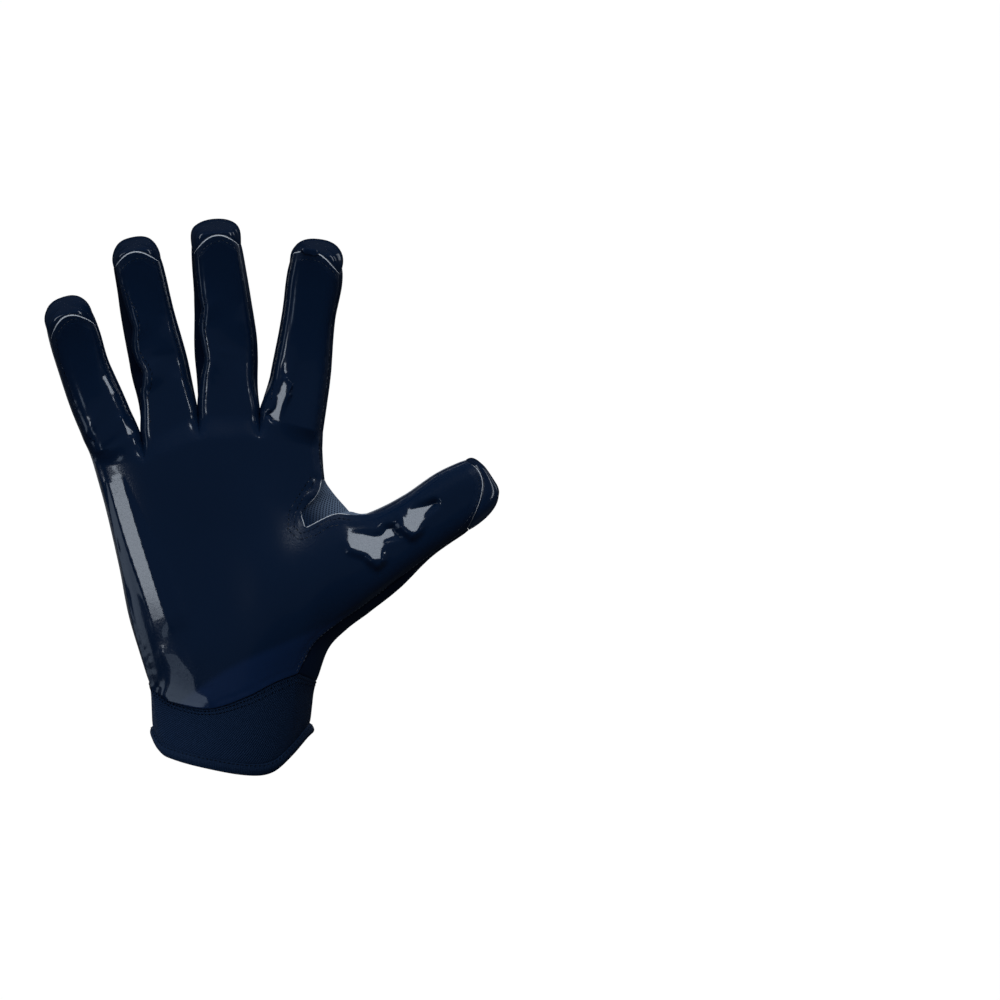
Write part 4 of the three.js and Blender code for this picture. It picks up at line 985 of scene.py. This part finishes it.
# Materials
def newMaterial(name, color, roughness, **fixed):
    material = bpy.data.materials.new(name)
    material.use_nodes = True
    shader = material.node_tree.nodes["Principled BSDF"]
    shader.inputs["Base Color"].default_value = (*color, 1)
    shader.inputs["Roughness"].default_value = roughness
    for socket, value in fixed.items():
        shader.inputs[socket].default_value = value
    return material, shader


def node(tree, kind, **values):
    made = tree.nodes.new(kind)
    for key, value in values.items():
        if key.startswith("in_"):
            made.inputs[key[3:].replace("_", " ")].default_value = value
        else:
            setattr(made, key, value)
    return made


def maths(tree, operation, a, b=None, c=None):
    made = node(tree, "ShaderNodeMath", operation=operation)
    for i, value in enumerate((a, b, c)):
        if isinstance(value, (int, float)):
            made.inputs[i].default_value = value
        elif value is not None:
            tree.links.new(value, made.inputs[i])
    return made.outputs[0]


def ranged(tree, value, low, high, outLow=0.0, outHigh=1.0, **fixed):
    made = node(tree, "ShaderNodeMapRange", in_From_Min=low, in_From_Max=high, in_To_Min=outLow,
                in_To_Max=outHigh, **fixed)
    tree.links.new(value, made.inputs["Value"])
    return made.outputs["Result"]


def newGroup(name, inputs, outputs):
    tree = bpy.data.node_groups.new(name, "ShaderNodeTree")
    for label, kind, value in inputs:
        socket = tree.interface.new_socket(label, in_out="INPUT", socket_type=kind)
        if value is not None:
            socket.default_value = value
    for label, kind in outputs:
        tree.interface.new_socket(label, in_out="OUTPUT", socket_type=kind)
    return tree, tree.nodes.new("NodeGroupInput"), tree.nodes.new("NodeGroupOutput")


def grainGroup():
    # pebbled coating: the smooth distance to the middle of the nearest cell, plus a fine noise
    tree, start, end = newGroup(
        "coatGrain", [("Vector", "NodeSocketVector", None), ("Scale", "NodeSocketFloat", 1500.0)],
        [("Height", "NodeSocketFloat"), ("Drift", "NodeSocketFloat")])
    cells = node(tree, "ShaderNodeTexVoronoi", feature="SMOOTH_F1")
    fine = node(tree, "ShaderNodeTexNoise", in_Detail=2.0)
    drift = node(tree, "ShaderNodeTexNoise", in_Scale=45.0, in_Detail=3.0)
    for texture in (cells, fine, drift):
        tree.links.new(start.outputs["Vector"], texture.inputs["Vector"])
    tree.links.new(start.outputs["Scale"], cells.inputs["Scale"])
    tree.links.new(maths(tree, "MULTIPLY", start.outputs["Scale"], 0.6), fine.inputs["Scale"])
    height = maths(tree, "MULTIPLY_ADD", fine.outputs["Fac"], 0.6, cells.outputs["Distance"])
    tree.links.new(height, end.inputs["Height"])
    tree.links.new(drift.outputs["Fac"], end.inputs["Drift"])
    return tree


def knitGroup():
    # ribs: a sine across a turned direction, cut by a finer sine along it
    tree, start, end = newGroup(
        "knitRibs", [("Vector", "NodeSocketVector", None), ("Turn", "NodeSocketFloat", 0.6),
                     ("Rib", "NodeSocketFloat", 1.0), ("Course", "NodeSocketFloat", 0.5)],
        [("Height", "NodeSocketFloat"), ("PaintedGrooveShade", "NodeSocketFloat")])
    split = node(tree, "ShaderNodeSeparateXYZ")
    tree.links.new(start.outputs["Vector"], split.inputs[0])
    u, v = split.outputs["X"], split.outputs["Y"]
    cosine, sine = maths(tree, "COSINE", start.outputs["Turn"]), maths(tree, "SINE", start.outputs["Turn"])
    across = maths(tree, "ADD", maths(tree, "MULTIPLY", u, cosine), maths(tree, "MULTIPLY", v, sine))
    along = maths(tree, "SUBTRACT", maths(tree, "MULTIPLY", v, cosine), maths(tree, "MULTIPLY", u, sine))

    def wave(value, pitch):
        turns = maths(tree, "MULTIPLY", maths(tree, "DIVIDE", value, pitch), 2 * math.pi)
        return maths(tree, "MULTIPLY_ADD", maths(tree, "SINE", turns), 0.5, 0.5)

    rib, course = wave(across, start.outputs["Rib"]), wave(along, start.outputs["Course"])
    tree.links.new(maths(tree, "MULTIPLY_ADD", course, 0.35, rib), end.inputs["Height"])
    # painted shade: dark in the grooves, light on the rib tops
    paintedGrooveShade = maths(tree, "MULTIPLY", rib, maths(tree, "MULTIPLY_ADD", course, 0.4, 0.6))
    tree.links.new(paintedGrooveShade, end.inputs["PaintedGrooveShade"])
    return tree


def dotsGroup():
    # pierced cloth: round dots on a staggered lattice, from the product of two sines
    tree, start, end = newGroup(
        "piercedDots", [("Vector", "NodeSocketVector", None), ("Pitch", "NodeSocketFloat", 1.0)],
        [("Dots", "NodeSocketFloat")])
    split = node(tree, "ShaderNodeSeparateXYZ")
    tree.links.new(start.outputs["Vector"], split.inputs[0])
    turns = [maths(tree, "DIVIDE", split.outputs[axis], start.outputs["Pitch"]) for axis in "XY"]
    waves = [maths(tree, "SINE", maths(tree, "MULTIPLY", turn, 2 * math.pi)) for turn in turns]
    dots = ranged(tree, maths(tree, "MULTIPLY", *waves), 0.15, 0.55, interpolation_type="SMOOTHSTEP")
    tree.links.new(dots, end.inputs["Dots"])
    return tree


coatGrain, knitRibs, piercedDots = grainGroup(), knitGroup(), dotsGroup()


def placeGroup(tree, group, vector, **values):
    made = node(tree, "ShaderNodeGroup", node_tree=group)
    tree.links.new(vector, made.inputs["Vector"])
    for key, value in values.items():
        made.inputs[key].default_value = value
    return made


def bumped(tree, shader, height, strength, distance):
    bump = node(tree, "ShaderNodeBump", in_Strength=strength, in_Distance=distance)
    tree.links.new(height, bump.inputs["Height"])
    tree.links.new(bump.outputs["Normal"], shader.inputs["Normal"])


def blended(tree, factor, dark, light):
    # each of the two is a color or a socket that gives one
    ramp = node(tree, "ShaderNodeMix", data_type="RGBA")
    for label, color in (("A", dark), ("B", light)):
        if isinstance(color, tuple):
            ramp.inputs[label].default_value = (*color, 1)
        else:
            tree.links.new(color, ramp.inputs[label])
    tree.links.new(factor, ramp.inputs["Factor"])
    return ramp.outputs["Result"]


def tinted(tree, shader, factor, dark, light):
    tree.links.new(blended(tree, factor, dark, light), shader.inputs["Base Color"])


def coated(name, dark, light, roughness, bumpDepth, scale, **fixed):
    # a broad drift of noise changes the tint and the shine, over a fine grain
    material, shader = newMaterial(name, dark, roughness, **fixed)
    tree = material.node_tree
    here = node(tree, "ShaderNodeTexCoord")
    grain = placeGroup(tree, coatGrain, here.outputs["Object"], Scale=scale)
    tinted(tree, shader, grain.outputs["Drift"], dark, light)
    drift = ranged(tree, grain.outputs["Drift"], 0.35, 0.65, roughness * 0.85, roughness * 1.25)
    tree.links.new(drift, shader.inputs["Roughness"])
    bumped(tree, shader, grain.outputs["Height"], 0.35, bumpDepth)
    return material


def valueOf(tree, key):
    return node(tree, "ShaderNodeAttribute", attribute_name=key).outputs["Fac"]


# The coating: its two tints and the heel's painted reflection, its roughness and clear coat with what the
# grained patches and the dull border add to them, and its fine and coarse grain
gripSet = {
    "base": (0.005, 0.018, 0.051), "dark": (0.0052, 0.0185, 0.052), "light": (0.0062, 0.021, 0.058),
    "heel": (0.009, 0.028, 0.088), "roughness": 0.16, "borderRough": 0.26, "grainRough": 0.14,
    "coat": 0.35, "borderCoat": -0.33, "scale": 1700.0, "coarseScale": 1200.0, "coarseRise": 7.0,
}


def gripCoat():
    #     its tint drifts, is lighter at the heel by a painted reflection, and its grain is deeper in the
    #     grained patches and the border
    material, shader = newMaterial("gripPalm", gripSet["base"], gripSet["roughness"], **{
        "Coat Weight": gripSet["coat"], "Coat Roughness": 0.05, "IOR": 1.45})
    tree = material.node_tree
    here = node(tree, "ShaderNodeTexCoord")
    grain = placeGroup(tree, coatGrain, here.outputs["Object"], Scale=gripSet["scale"])
    plain = blended(tree, grain.outputs["Drift"], gripSet["dark"], gripSet["light"])
    # the heel's lighter tint is a painted reflection
    tinted(tree, shader, valueOf(tree, "heel"), plain, gripSet["heel"])
    grained, border = valueOf(tree, "grain"), valueOf(tree, "border")
    rough = maths(tree, "MULTIPLY_ADD", border, gripSet["borderRough"], gripSet["roughness"])
    rough = maths(tree, "MULTIPLY_ADD", grained, gripSet["grainRough"], rough)
    tree.links.new(rough, shader.inputs["Roughness"])
    coat = maths(tree, "MULTIPLY_ADD", border, gripSet["borderCoat"], gripSet["coat"])
    tree.links.new(coat, shader.inputs["Coat Weight"])
    coarse = placeGroup(tree, coatGrain, here.outputs["Object"], Scale=gripSet["coarseScale"])
    deep = maths(tree, "MULTIPLY", maths(tree, "MAXIMUM", grained, border), gripSet["coarseRise"])
    deep = maths(tree, "MULTIPLY", coarse.outputs["Height"], deep)
    bumped(tree, shader, maths(tree, "ADD", grain.outputs["Height"], deep), 0.35, 0.00003)
    return material


def rawCut():
    # the panel's cut edge: pale along the marked lines, and dyed dark everywhere else
    material, shader = newMaterial("rawEdge", gripSet["base"], 0.5)
    tree = material.node_tree
    tinted(tree, shader, valueOf(tree, "raw"), (0.004, 0.014, 0.042), (0.94, 0.95, 0.97))
    return material


def knitted(name, dark, light, roughness, turn, rib, course, depth, **fixed):
    #     ribs and courses at the given pitches in millimetres, with painted shade darkening the grooves
    #     between them
    material, shader = newMaterial(name, dark, roughness, **fixed)
    tree = material.node_tree
    here = node(tree, "ShaderNodeUVMap", uv_map="cloth")
    ribs = placeGroup(tree, knitRibs, here.outputs["UV"], Turn=turn, Rib=rib, Course=course)
    # painted shade darkens the grooves and leaves the rib tops light
    tinted(tree, shader, ribs.outputs["PaintedGrooveShade"], dark, light)
    bumped(tree, shader, ribs.outputs["Height"], 0.8, depth)
    return material


def gussetCloth():
    # pierced with dark dots, and stretched thinner, and so lighter, towards its free edge
    material, shader = newMaterial("gussetCloth", (0.03, 0.05, 0.085), 0.7, **{"Specular IOR Level": 0.2})
    tree = material.node_tree
    here = node(tree, "ShaderNodeUVMap", uv_map="cloth")
    dots = placeGroup(tree, piercedDots, here.outputs["UV"], Pitch=1.5)
    cloth = blended(tree, valueOf(tree, "thin"), (0.012, 0.03, 0.07), (0.2, 0.26, 0.36))
    tinted(tree, shader, dots.outputs["Dots"], cloth, (0.005, 0.012, 0.03))
    bumped(tree, shader, maths(tree, "SUBTRACT", 1.0, dots.outputs["Dots"]), 0.9, 0.0002)
    return material


def threaded(name, dark, light, roughness, low=0.38, high=0.62):
    #     twisted yarn: a noise of the place sets each bit of it between two tones, which on the dark thread
    #         are its colour and painted glints
    material, shader = newMaterial(name, dark, roughness)
    tree = material.node_tree
    here = node(tree, "ShaderNodeTexCoord")
    twist = node(tree, "ShaderNodeTexNoise", in_Scale=420.0, in_Detail=2.0)
    tree.links.new(here.outputs["Object"], twist.inputs["Vector"])
    tinted(tree, shader, ranged(tree, twist.outputs["Fac"], low, high), dark, light)
    bumped(tree, shader, twist.outputs["Fac"], 0.4, 0.0001)
    return material


knitSheen = {"Specular IOR Level": 0.2, "Sheen Weight": 0.04, "Sheen Roughness": 0.4}
finishes = {
    "gripPalm": gripCoat(),
    "rawEdge": rawCut(),
    "sideCloth": coated("sideCloth", (0.005, 0.0165, 0.047), (0.0062, 0.0195, 0.054), 0.38, 0.00005, 1500.0,
                        **{"Specular IOR Level": 0.3}),
    "tipCap": coated("tipCap", (0.0028, 0.0095, 0.027), (0.0034, 0.011, 0.031), 0.18, 0.00003, 1600.0,
                     **{"Coat Weight": 0.3, "Coat Roughness": 0.08}),
    # the knits' two tones are painted shade in the grooves and the lighter rib tops
    "backCloth": knitted("backCloth", (0.005, 0.0145, 0.041), (0.013, 0.033, 0.08), 0.75, 0.0, 0.95, 0.75,
                         0.00016, **knitSheen),
    "gussetCloth": gussetCloth(),
    "cuffKnit": knitted("cuffKnit", (0.0045, 0.0135, 0.037), (0.014, 0.034, 0.082), 0.8, 0.62, 0.85, 0.6,
                        0.0002, **knitSheen),
    "hemTape": knitted("hemTape", (0.0045, 0.0135, 0.037), (0.012, 0.03, 0.072), 0.7, 0.0, 0.7, 0.7,
                       0.00012, **knitSheen),
    # the dark thread's near-white tone is painted glints on its stitches
    "darkThreadPaintedGlints": threaded("darkThreadPaintedGlints", (0.004, 0.013, 0.038), (0.8, 0.85, 0.92), 0.5, 0.52, 0.6),
    "paleThread": threaded("paleThread", (0.16, 0.2, 0.28), (0.86, 0.89, 0.93), 0.5, 0.42, 0.56),
    "cuffThread": threaded("cuffThread", (0.0015, 0.004, 0.012), (0.012, 0.026, 0.06), 0.5),
}
print("finishes made")

# The rims: how each piece's edge runs from its outer to its inner surface, inwards and up in millimetres
lapRim = [(0.3, 0.46), (0.12, 0.42), (-0.02, 0.3), (0.04, 0.05)]
foldRim = [(0.22, 0.0), (0.08, -0.12), (0.05, -0.4)]
tuckRim = [(0.22, 0.0), (0.06, -0.12), (-0.4, -0.45), (-0.4, -0.9)]  # it reaches under its neighbours' edges
clothKinds = {  # finish: slot, rim, wall in millimetres
    "gripPalm": ("grip_palm", lapRim, 1.15),
    "backCloth": ("back_cloth", foldRim, 1.15),
    "sideCloth": ("side_cloth", foldRim, 1.15),
    "gussetCloth": ("gusset_cloth", foldRim, 1.15),
    "tipCap": ("tip_cap", foldRim, 1.35),
    "cuffKnit": ("cuff_knit", tuckRim, 1.55),
    "hemTape": ("hem_tape", foldRim, 2.3),
}
pieceTable = {  # node: name, finish, flat size in metres
    "palm_panel": ("gripPalmPanel", "gripPalm", (0.205, 0.215)),
    "back_panel": ("backPanelCloth", "backCloth", (0.205, 0.215)),
    "ulnar_side": ("ulnarSideCloth", "sideCloth", (0.03, 0.17)),
    "fourchette_little_ring": ("sideLittleRing", "sideCloth", (0.02, 0.13)),
    "fourchette_ring_middle": ("sideRingMiddle", "sideCloth", (0.02, 0.14)),
    "fourchette_middle_index": ("sideMiddleIndex", "sideCloth", (0.02, 0.14)),
    "index_side": ("indexSideCloth", "sideCloth", (0.02, 0.1)),
    "thumb_gusset": ("thumbGussetCloth", "gussetCloth", (0.035, 0.05)),
    "thumb_side_upper": ("thumbUpperSide", "sideCloth", (0.02, 0.06)),
    "thumb_side_lower": ("thumbLowerSide", "sideCloth", (0.03, 0.12)),
    "cap_little": ("capLittle", "tipCap", (0.03, 0.024)),
    "cap_ring": ("capRing", "tipCap", (0.03, 0.026)),
    "cap_middle": ("capMiddle", "tipCap", (0.03, 0.026)),
    "cap_index": ("capIndex", "tipCap", (0.03, 0.026)),
    "cap_thumb": ("capThumb", "tipCap", (0.042, 0.036)),
    "cuff": ("cuffKnitTube", "cuffKnit", (0.175, 0.03)),
    "hem_binding": ("hemTapeBand", "hemTape", (0.17, 0.011)),
}
built = {}
for nodeName, (name, finish, flat) in pieceTable.items():
    slot, rim, wall = clothKinds[finish]
    points, faces, uv, isRim, source = shellOf(sheets[nodeName], rim, wall)
    values = {key: value[source] for key, value in sheets[nodeName].get("values", {}).items()}
    piece = meshOf(name, points, faces, uv, isRim, values)
    piece.data.materials.append(finishes[finish])
    piece.data.materials.append(finishes["rawEdge" if finish == "gripPalm" else finish])
    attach(piece, "root")
    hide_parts(nodeName)
    built[nodeName] = piece

# Stitches: rows on the coated panel as lines in x and z, and closed rows round the cuff and the hem
stitchLines = {
    "pale": [
        [(90.8, 86.0), (87.6, 84.0), (84.0, 81.2), (80.0, 78.8), (76.0, 76.0), (72.4, 73.2),
     (68.8, 70.0)],
        [(63.2, 66.0), (59.2, 63.2), (55.2, 60.8), (51.2, 56.8), (45.2, 52.8), (40.0, 48.8),
     (34.0, 44.1), (30.0, 40.1), (28.0, 36.1), (26.7, 32.8)],
        [(-68.4, 167.6), (-66.4, 170.4), (-63.2, 172.8), (-59.2, 173.2), (-55.6, 171.2), (-53.6, 167.2)],
        [(-42.8, 192.8), (-40.4, 195.6), (-36.4, 197.2), (-32.4, 197.2), (-29.6, 194.8)],
        [(-12.8, 196.0), (-10.4, 200.8), (-6.8, 203.6), (-2.4, 204.4), (1.2, 202.4), (3.6, 198.4)],
        [(28.4, 196.4), (32.0, 197.2), (36.8, 195.6), (40.8, 192.8), (43.2, 188.8)],
        [(98.0, 114.4), (99.6, 108.8), (99.6, 103.2), (98.0, 97.6), (94.8, 92.8), (90.8, 88.8)],
    ],
    "dark": [
        [(-69.0, 165.8), (-67.8, 156.8), (-65.2, 149.8), (-62.8, 141.3), (-61.0, 134.8), (-58.5, 128.3),
     (-56.0, 125.8), (-53.2, 123.8)],
        [(-52.0, 162.8), (-50.0, 154.8), (-46.0, 149.6), (-43.6, 142.8), (-40.8, 136.8), (-38.0, 129.6)],
        [(-44.0, 188.8), (-40.0, 181.6), (-37.2, 176.0), (-36.0, 170.8), (-36.8, 162.8), (-35.2, 158.4),
     (-32.8, 155.2), (-31.2, 151.2), (-31.6, 146.8), (-32.8, 142.4), (-32.4, 136.0), (-31.6, 130.8)],
        [(-28.0, 190.8), (-26.8, 184.8), (-24.4, 176.8), (-23.2, 168.8), (-21.2, 160.8), (-20.0, 152.0),
     (-18.0, 144.0), (-16.0, 137.6)],
        [(-13.2, 190.8), (-11.6, 184.0), (-9.6, 180.8), (-10.4, 174.8), (-9.6, 166.8), (-8.8, 162.8),
     (-8.4, 156.8), (-8.8, 152.0), (-9.6, 146.8), (-9.6, 140.8)],
        [(3.6, 193.6), (5.2, 186.8), (6.4, 180.8), (7.6, 174.8), (8.0, 164.8), (8.4, 158.8),
     (8.8, 152.0), (8.8, 142.8)],
        [(24.8, 192.8), (23.6, 184.8), (22.8, 176.8), (20.0, 168.8), (18.8, 160.8), (18.0, 152.0),
     (17.2, 144.8), (16.4, 140.0)],
        [(42.8, 180.8), (42.4, 168.8), (41.2, 156.8), (40.0, 144.8), (38.8, 132.8), (37.6, 120.8),
     (36.4, 112.8)],
        [(34.4, 109.6), (31.6, 105.2), (28.4, 100.4), (25.8, 95.2), (25.6, 90.0), (28.4, 87.2),
     (34.0, 89.2), (38.8, 92.4), (44.0, 93.2), (48.8, 92.4)],
        [(32.4, 110.4), (29.6, 106.0), (26.4, 101.2), (23.6, 96.0), (23.2, 88.8), (27.6, 84.8),
     (34.8, 86.8), (39.6, 90.0), (44.4, 90.8)],
        [(29.2, 33.6), (30.8, 38.4), (33.6, 42.0)],
    ],
}
stitchSet = {
    "pale": {"pitch": 1.7, "long": 1.0, "thick": 0.26, "sunk": 0.02},
    "dark": {"pitch": 1.9, "long": 1.2, "thick": 0.34, "sunk": 0.0},
    "cuff": {"pitch": 1.5, "long": 1.1, "thick": 0.42, "sunk": 0.0, "rows": [0.05, 0.12]},
    "hem": {"pitch": 1.8, "long": 1.1, "thick": 0.36, "sunk": 0.0, "rows": [0.16]},
}


def spacedOut(line, pitch):
    # places on the line at equal steps, and the direction there
    lengths = np.concatenate([[0], np.cumsum(np.linalg.norm(np.diff(line, axis=0), axis=1))])
    at = np.arange(pitch / 2, lengths[-1], pitch)
    spots = np.stack([np.interp(at, lengths, line[:, i]) for i in range(line.shape[1])], 1)
    ahead = np.stack([np.interp(at + pitch / 3, lengths, line[:, i]) for i in range(line.shape[1])], 1)
    return spots, ahead


def onPanel(flat):
    # place and normal on the coated surface, from its four nearest points by one over distance squared
    sheet = sheets["palm_panel"]
    front = np.flatnonzero(sheet["normals"][:, 1] < -0.15)
    points, normals = sheet["points"][front], sheet["normals"][front]
    square = ((flat[:, None] - points[None][..., [0, 2]]) ** 2).sum(2)
    near = np.argpartition(square, 4, axis=1)[:, :4]
    weight = 1 / (np.take_along_axis(square, near, 1) + 0.02)
    weight = (weight / weight.sum(1, keepdims=True))[..., None]
    return (points[near] * weight).sum(1), unit((normals[near] * weight).sum(1))


def stitchMesh(places, onward, outward, size):
    # every stitch is one bead, drawn out along its row and flattened a little: six sides, five rings
    angles = np.arange(6) * math.pi / 3
    along = np.array([-1, -0.75, 0, 0.75, 1])[:, None]
    girth = np.array([0.25, 0.8, 1, 0.8, 0.25])[:, None]
    local = stack(along, girth * np.cos(angles), girth * np.sin(angles)).reshape(-1, 3)
    quads = [[i * 6 + j, i * 6 + (j + 1) % 6, (i + 1) * 6 + (j + 1) % 6, (i + 1) * 6 + j]
             for i in range(4) for j in range(6)]
    faces = [[q[0], q[1], q[2]] for q in quads] + [[q[0], q[2], q[3]] for q in quads]
    faces += [[0, j + 1, j] for j in range(1, 5)] + [[24, 24 + j, 25 + j] for j in range(1, 5)]
    outward = unit(outward)
    onward = unit(onward - outward * (onward * outward).sum(1)[:, None])
    aside = np.cross(outward, onward)
    local = local * [size["long"] / 2, size["thick"] / 2, size["thick"] / 2.6]
    points = (places[:, None] - outward[:, None] * size["sunk"] + local[:, 0, None] * onward[:, None]
              + local[:, 1, None] * aside[:, None] + local[:, 2, None] * outward[:, None])
    faces = np.array(faces) + np.arange(len(places))[:, None, None] * len(local)
    return points.reshape(-1, 3), faces.reshape(-1, 3)


def panelRows(kind):
    # on the coated panel, as far out as its rim lifts it
    places, onward, outward = [], [], []
    for line in stitchLines[kind]:
        spots, ahead = spacedOut(np.array(line, float), stitchSet[kind]["pitch"])
        here, normal = onPanel(spots)
        there, _ = onPanel(ahead)
        places.append(here + normal * lapRim[0][1])
        onward.append(there - here)
        outward.append(normal)
    return np.concatenate(places), np.concatenate(onward), np.concatenate(outward)


def tubeRows(grid, kind):
    # rows at given heights of a tube's grid, each between the two rows of points next to it
    places, onward, outward = [], [], []
    for height in stitchSet[kind]["rows"]:
        k = height * (len(grid) - 1)
        low = int(k)
        line = mix(grid[low], grid[low + 1], k - low)
        spots, ahead = spacedOut(line, stitchSet[kind]["pitch"])
        places.append(spots)
        onward.append(ahead - spots)
        outward.append((spots - line[:-1].mean(0)) * [1, 1, 0])
    return np.concatenate(places), np.concatenate(onward), np.concatenate(outward)


for name, kind, finish, slot, rows in (
        ("panelStitchesPale", "pale", "paleThread", "grip_palm", panelRows("pale")),
        ("panelStitchesDark", "dark", "darkThreadPaintedGlints", "grip_palm", panelRows("dark")),
        ("cuffSeamStitches", "cuff", "cuffThread", "cuff_knit", tubeRows(cuffRows(), "cuff")),
        ("hemStitches", "hem", "cuffThread", "hem_tape", tubeRows(hemRows(), "hem"))):
    piece = meshOf(name, *stitchMesh(*rows, stitchSet[kind]))
    piece.data.materials.append(finishes[finish])
    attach(piece, "root")
    print(f"{name}: {len(rows[0])} stitches")

# The stage in metres: a floor that bends up into a wall behind the glove
stageSet = {"floorZ": -0.32, "near": -3.0, "bendStart": 2.4, "bend": 1.0, "top": 3.4, "half": 3.5}
steps = np.linspace(0, math.pi / 2, 25)
profile = np.concatenate([
    [[stageSet["near"], stageSet["floorZ"]]],
    np.stack([stageSet["bendStart"] + stageSet["bend"] * np.sin(steps),
              stageSet["floorZ"] + stageSet["bend"] * (1 - np.cos(steps))], -1),
    [[stageSet["bendStart"] + stageSet["bend"], stageSet["top"]]]])
sweep = np.stack([stack(side * stageSet["half"], *profile.T) for side in (-1, 1)], 1) * 1000  # millimetres
floorSheet = sheetOf(sweep, False)
floor = meshOf("studioFloor", floorSheet["points"], floorSheet["faces"])
paper, paperShader = newMaterial("studioPaper", (0.3, 0.34, 0.4), 0.9)
paperShader.inputs["Emission Color"].default_value = (1, 1, 1, 1)
paperRays = node(paper.node_tree, "ShaderNodeLightPath")  # it glows for the camera alone, so it stays white
paper.node_tree.links.new(paperRays.outputs["Is Camera Ray"], paperShader.inputs["Emission Strength"])
floor.data.materials.append(paper)

# Softboxes round the glove: azimuth from straight in front towards +X, elevation, distance, width,
# height in metres, and radiance
lightTable = {
    "stripLeft": (-40.45, -0.56, 1.0, 0.14, 0.13, 6.2),
    "sideLeft": (-85, -3, 1.2, 0.5, 0.7, 0.95),
    "heelLeft": (-27, -15, 1.0, 0.16, 0.14, 1.6),
    "smallRight": (56, 16, 1.0, 0.12, 0.12, 7.0),
    "topFront": (14, 36, 1.0, 0.18, 0.13, 6.5),
    "rimRight": (112, 22, 1.1, 0.25, 0.6, 1.5),
    "backTop": (180, 18, 1.4, 1.4, 0.5, 1.2),
    "backLeft": (-150, 10, 1.4, 0.9, 0.9, 0.6),
    "capLeft": (-44, 10, 0.8, 0.16, 1.2, 4.8),
    "capRight": (48, 10, 0.8, 0.16, 1.2, 4.8),
    "cuffLeft": (-62, 4, 1.0, 0.7, 0.7, 2.4),
    "fill": (0, 48, 1.6, 1.4, 1.4, 1.8),
    "fillBack": (176, 40, 1.6, 1.4, 1.4, 2.6),
}
# The boxes that light only some of the pieces, so that their reflections lie only there. The fills light
# all the sheets, and neither the stitches nor the floor
caps = [nodeName for nodeName in built if nodeName.startswith("cap_")]
tube = ["cuff", "hem_binding"]
onlyOn = {
    "stripLeft": ["palm_panel"],
    "heelLeft": ["palm_panel"],
    "smallRight": ["palm_panel"],
    "topFront": ["palm_panel", "thumb_gusset"],
    "sideLeft": ["palm_panel", "ulnar_side", *tube],
    "backTop": ["palm_panel", "back_panel", *tube, "index_side", "thumb_side_upper"],
    "backLeft": ["back_panel", *tube, "ulnar_side"],
    "capLeft": caps,
    "capRight": caps,
    "cuffLeft": tube,
    "fill": list(built),
    "fillBack": list(built),
}
unseen = ("fill", "fillBack", "cuffLeft")  # they brighten the colours without a reflection of their own
bluer = ("sideLeft", "heelLeft")
middle = np.array([0.015, 0, 0.11])
for name, (azimuth, elevation, distance, width, height, radiance) in lightTable.items():
    data = bpy.data.lights.new(name, "AREA")
    data.shape, data.size, data.size_y = "RECTANGLE", width, height
    data.energy = radiance * math.pi * width * height
    lamp = bpy.data.objects.new(name, data)
    bpy.context.scene.collection.objects.link(lamp)
    lamp.location = middle + facing(azimuth, elevation) * distance
    lamp.rotation_euler = (math.pi / 2 - math.radians(elevation), 0, math.radians(azimuth))
    lamp.visible_camera = False
    lamp.visible_glossy = name not in unseen
    data.color = (0.62, 0.78, 1.0) if name in bluer else (0.8, 0.89, 1.0)
    if name in onlyOn:
        lit = bpy.data.collections.new(name + "Lit")
        for nodeName in onlyOn[name]:
            lit.objects.link(built[nodeName])
        lamp.light_linking.receiver_collection = lit

# The world lights the glove dimly, and is white for the camera alone
world = bpy.data.worlds.new("studioWorld")
bpy.context.scene.world = world
world.use_nodes = True
tree = world.node_tree
tree.nodes.clear()
dim = node(tree, "ShaderNodeBackground", in_Color=(0.72, 0.84, 1.0, 1), in_Strength=0.045)
pale = node(tree, "ShaderNodeBackground", in_Color=(1, 1, 1, 1), in_Strength=1.0)
rays = node(tree, "ShaderNodeLightPath")
blend = node(tree, "ShaderNodeMixShader")
out = node(tree, "ShaderNodeOutputWorld")
for i, socket in enumerate((rays.outputs["Is Camera Ray"], dim.outputs[0], pale.outputs[0])):
    tree.links.new(socket, blend.inputs[i])
tree.links.new(blend.outputs[0], out.inputs[0])

# The camera looks straight at the palm; frame is the breadth of the picture at the glove, in metres
cameraSet = {"centre": (0.108, -0.012, 0.1008), "away": 2.5, "frame": 0.4, "sensor": 36}
camera = bpy.data.objects.new("camera", bpy.data.cameras.new("camera"))
bpy.context.scene.collection.objects.link(camera)
camera.data.sensor_width = cameraSet["sensor"]
camera.data.lens = cameraSet["sensor"] / cameraSet["frame"] * cameraSet["away"]
camera.data.clip_end = 20
x, y, z = cameraSet["centre"]
camera.location = (x, y - cameraSet["away"], z)
camera.rotation_euler = (math.pi / 2, 0, 0)
bpy.context.scene.camera = camera
bpy.context.scene.view_settings.view_transform = "Standard"
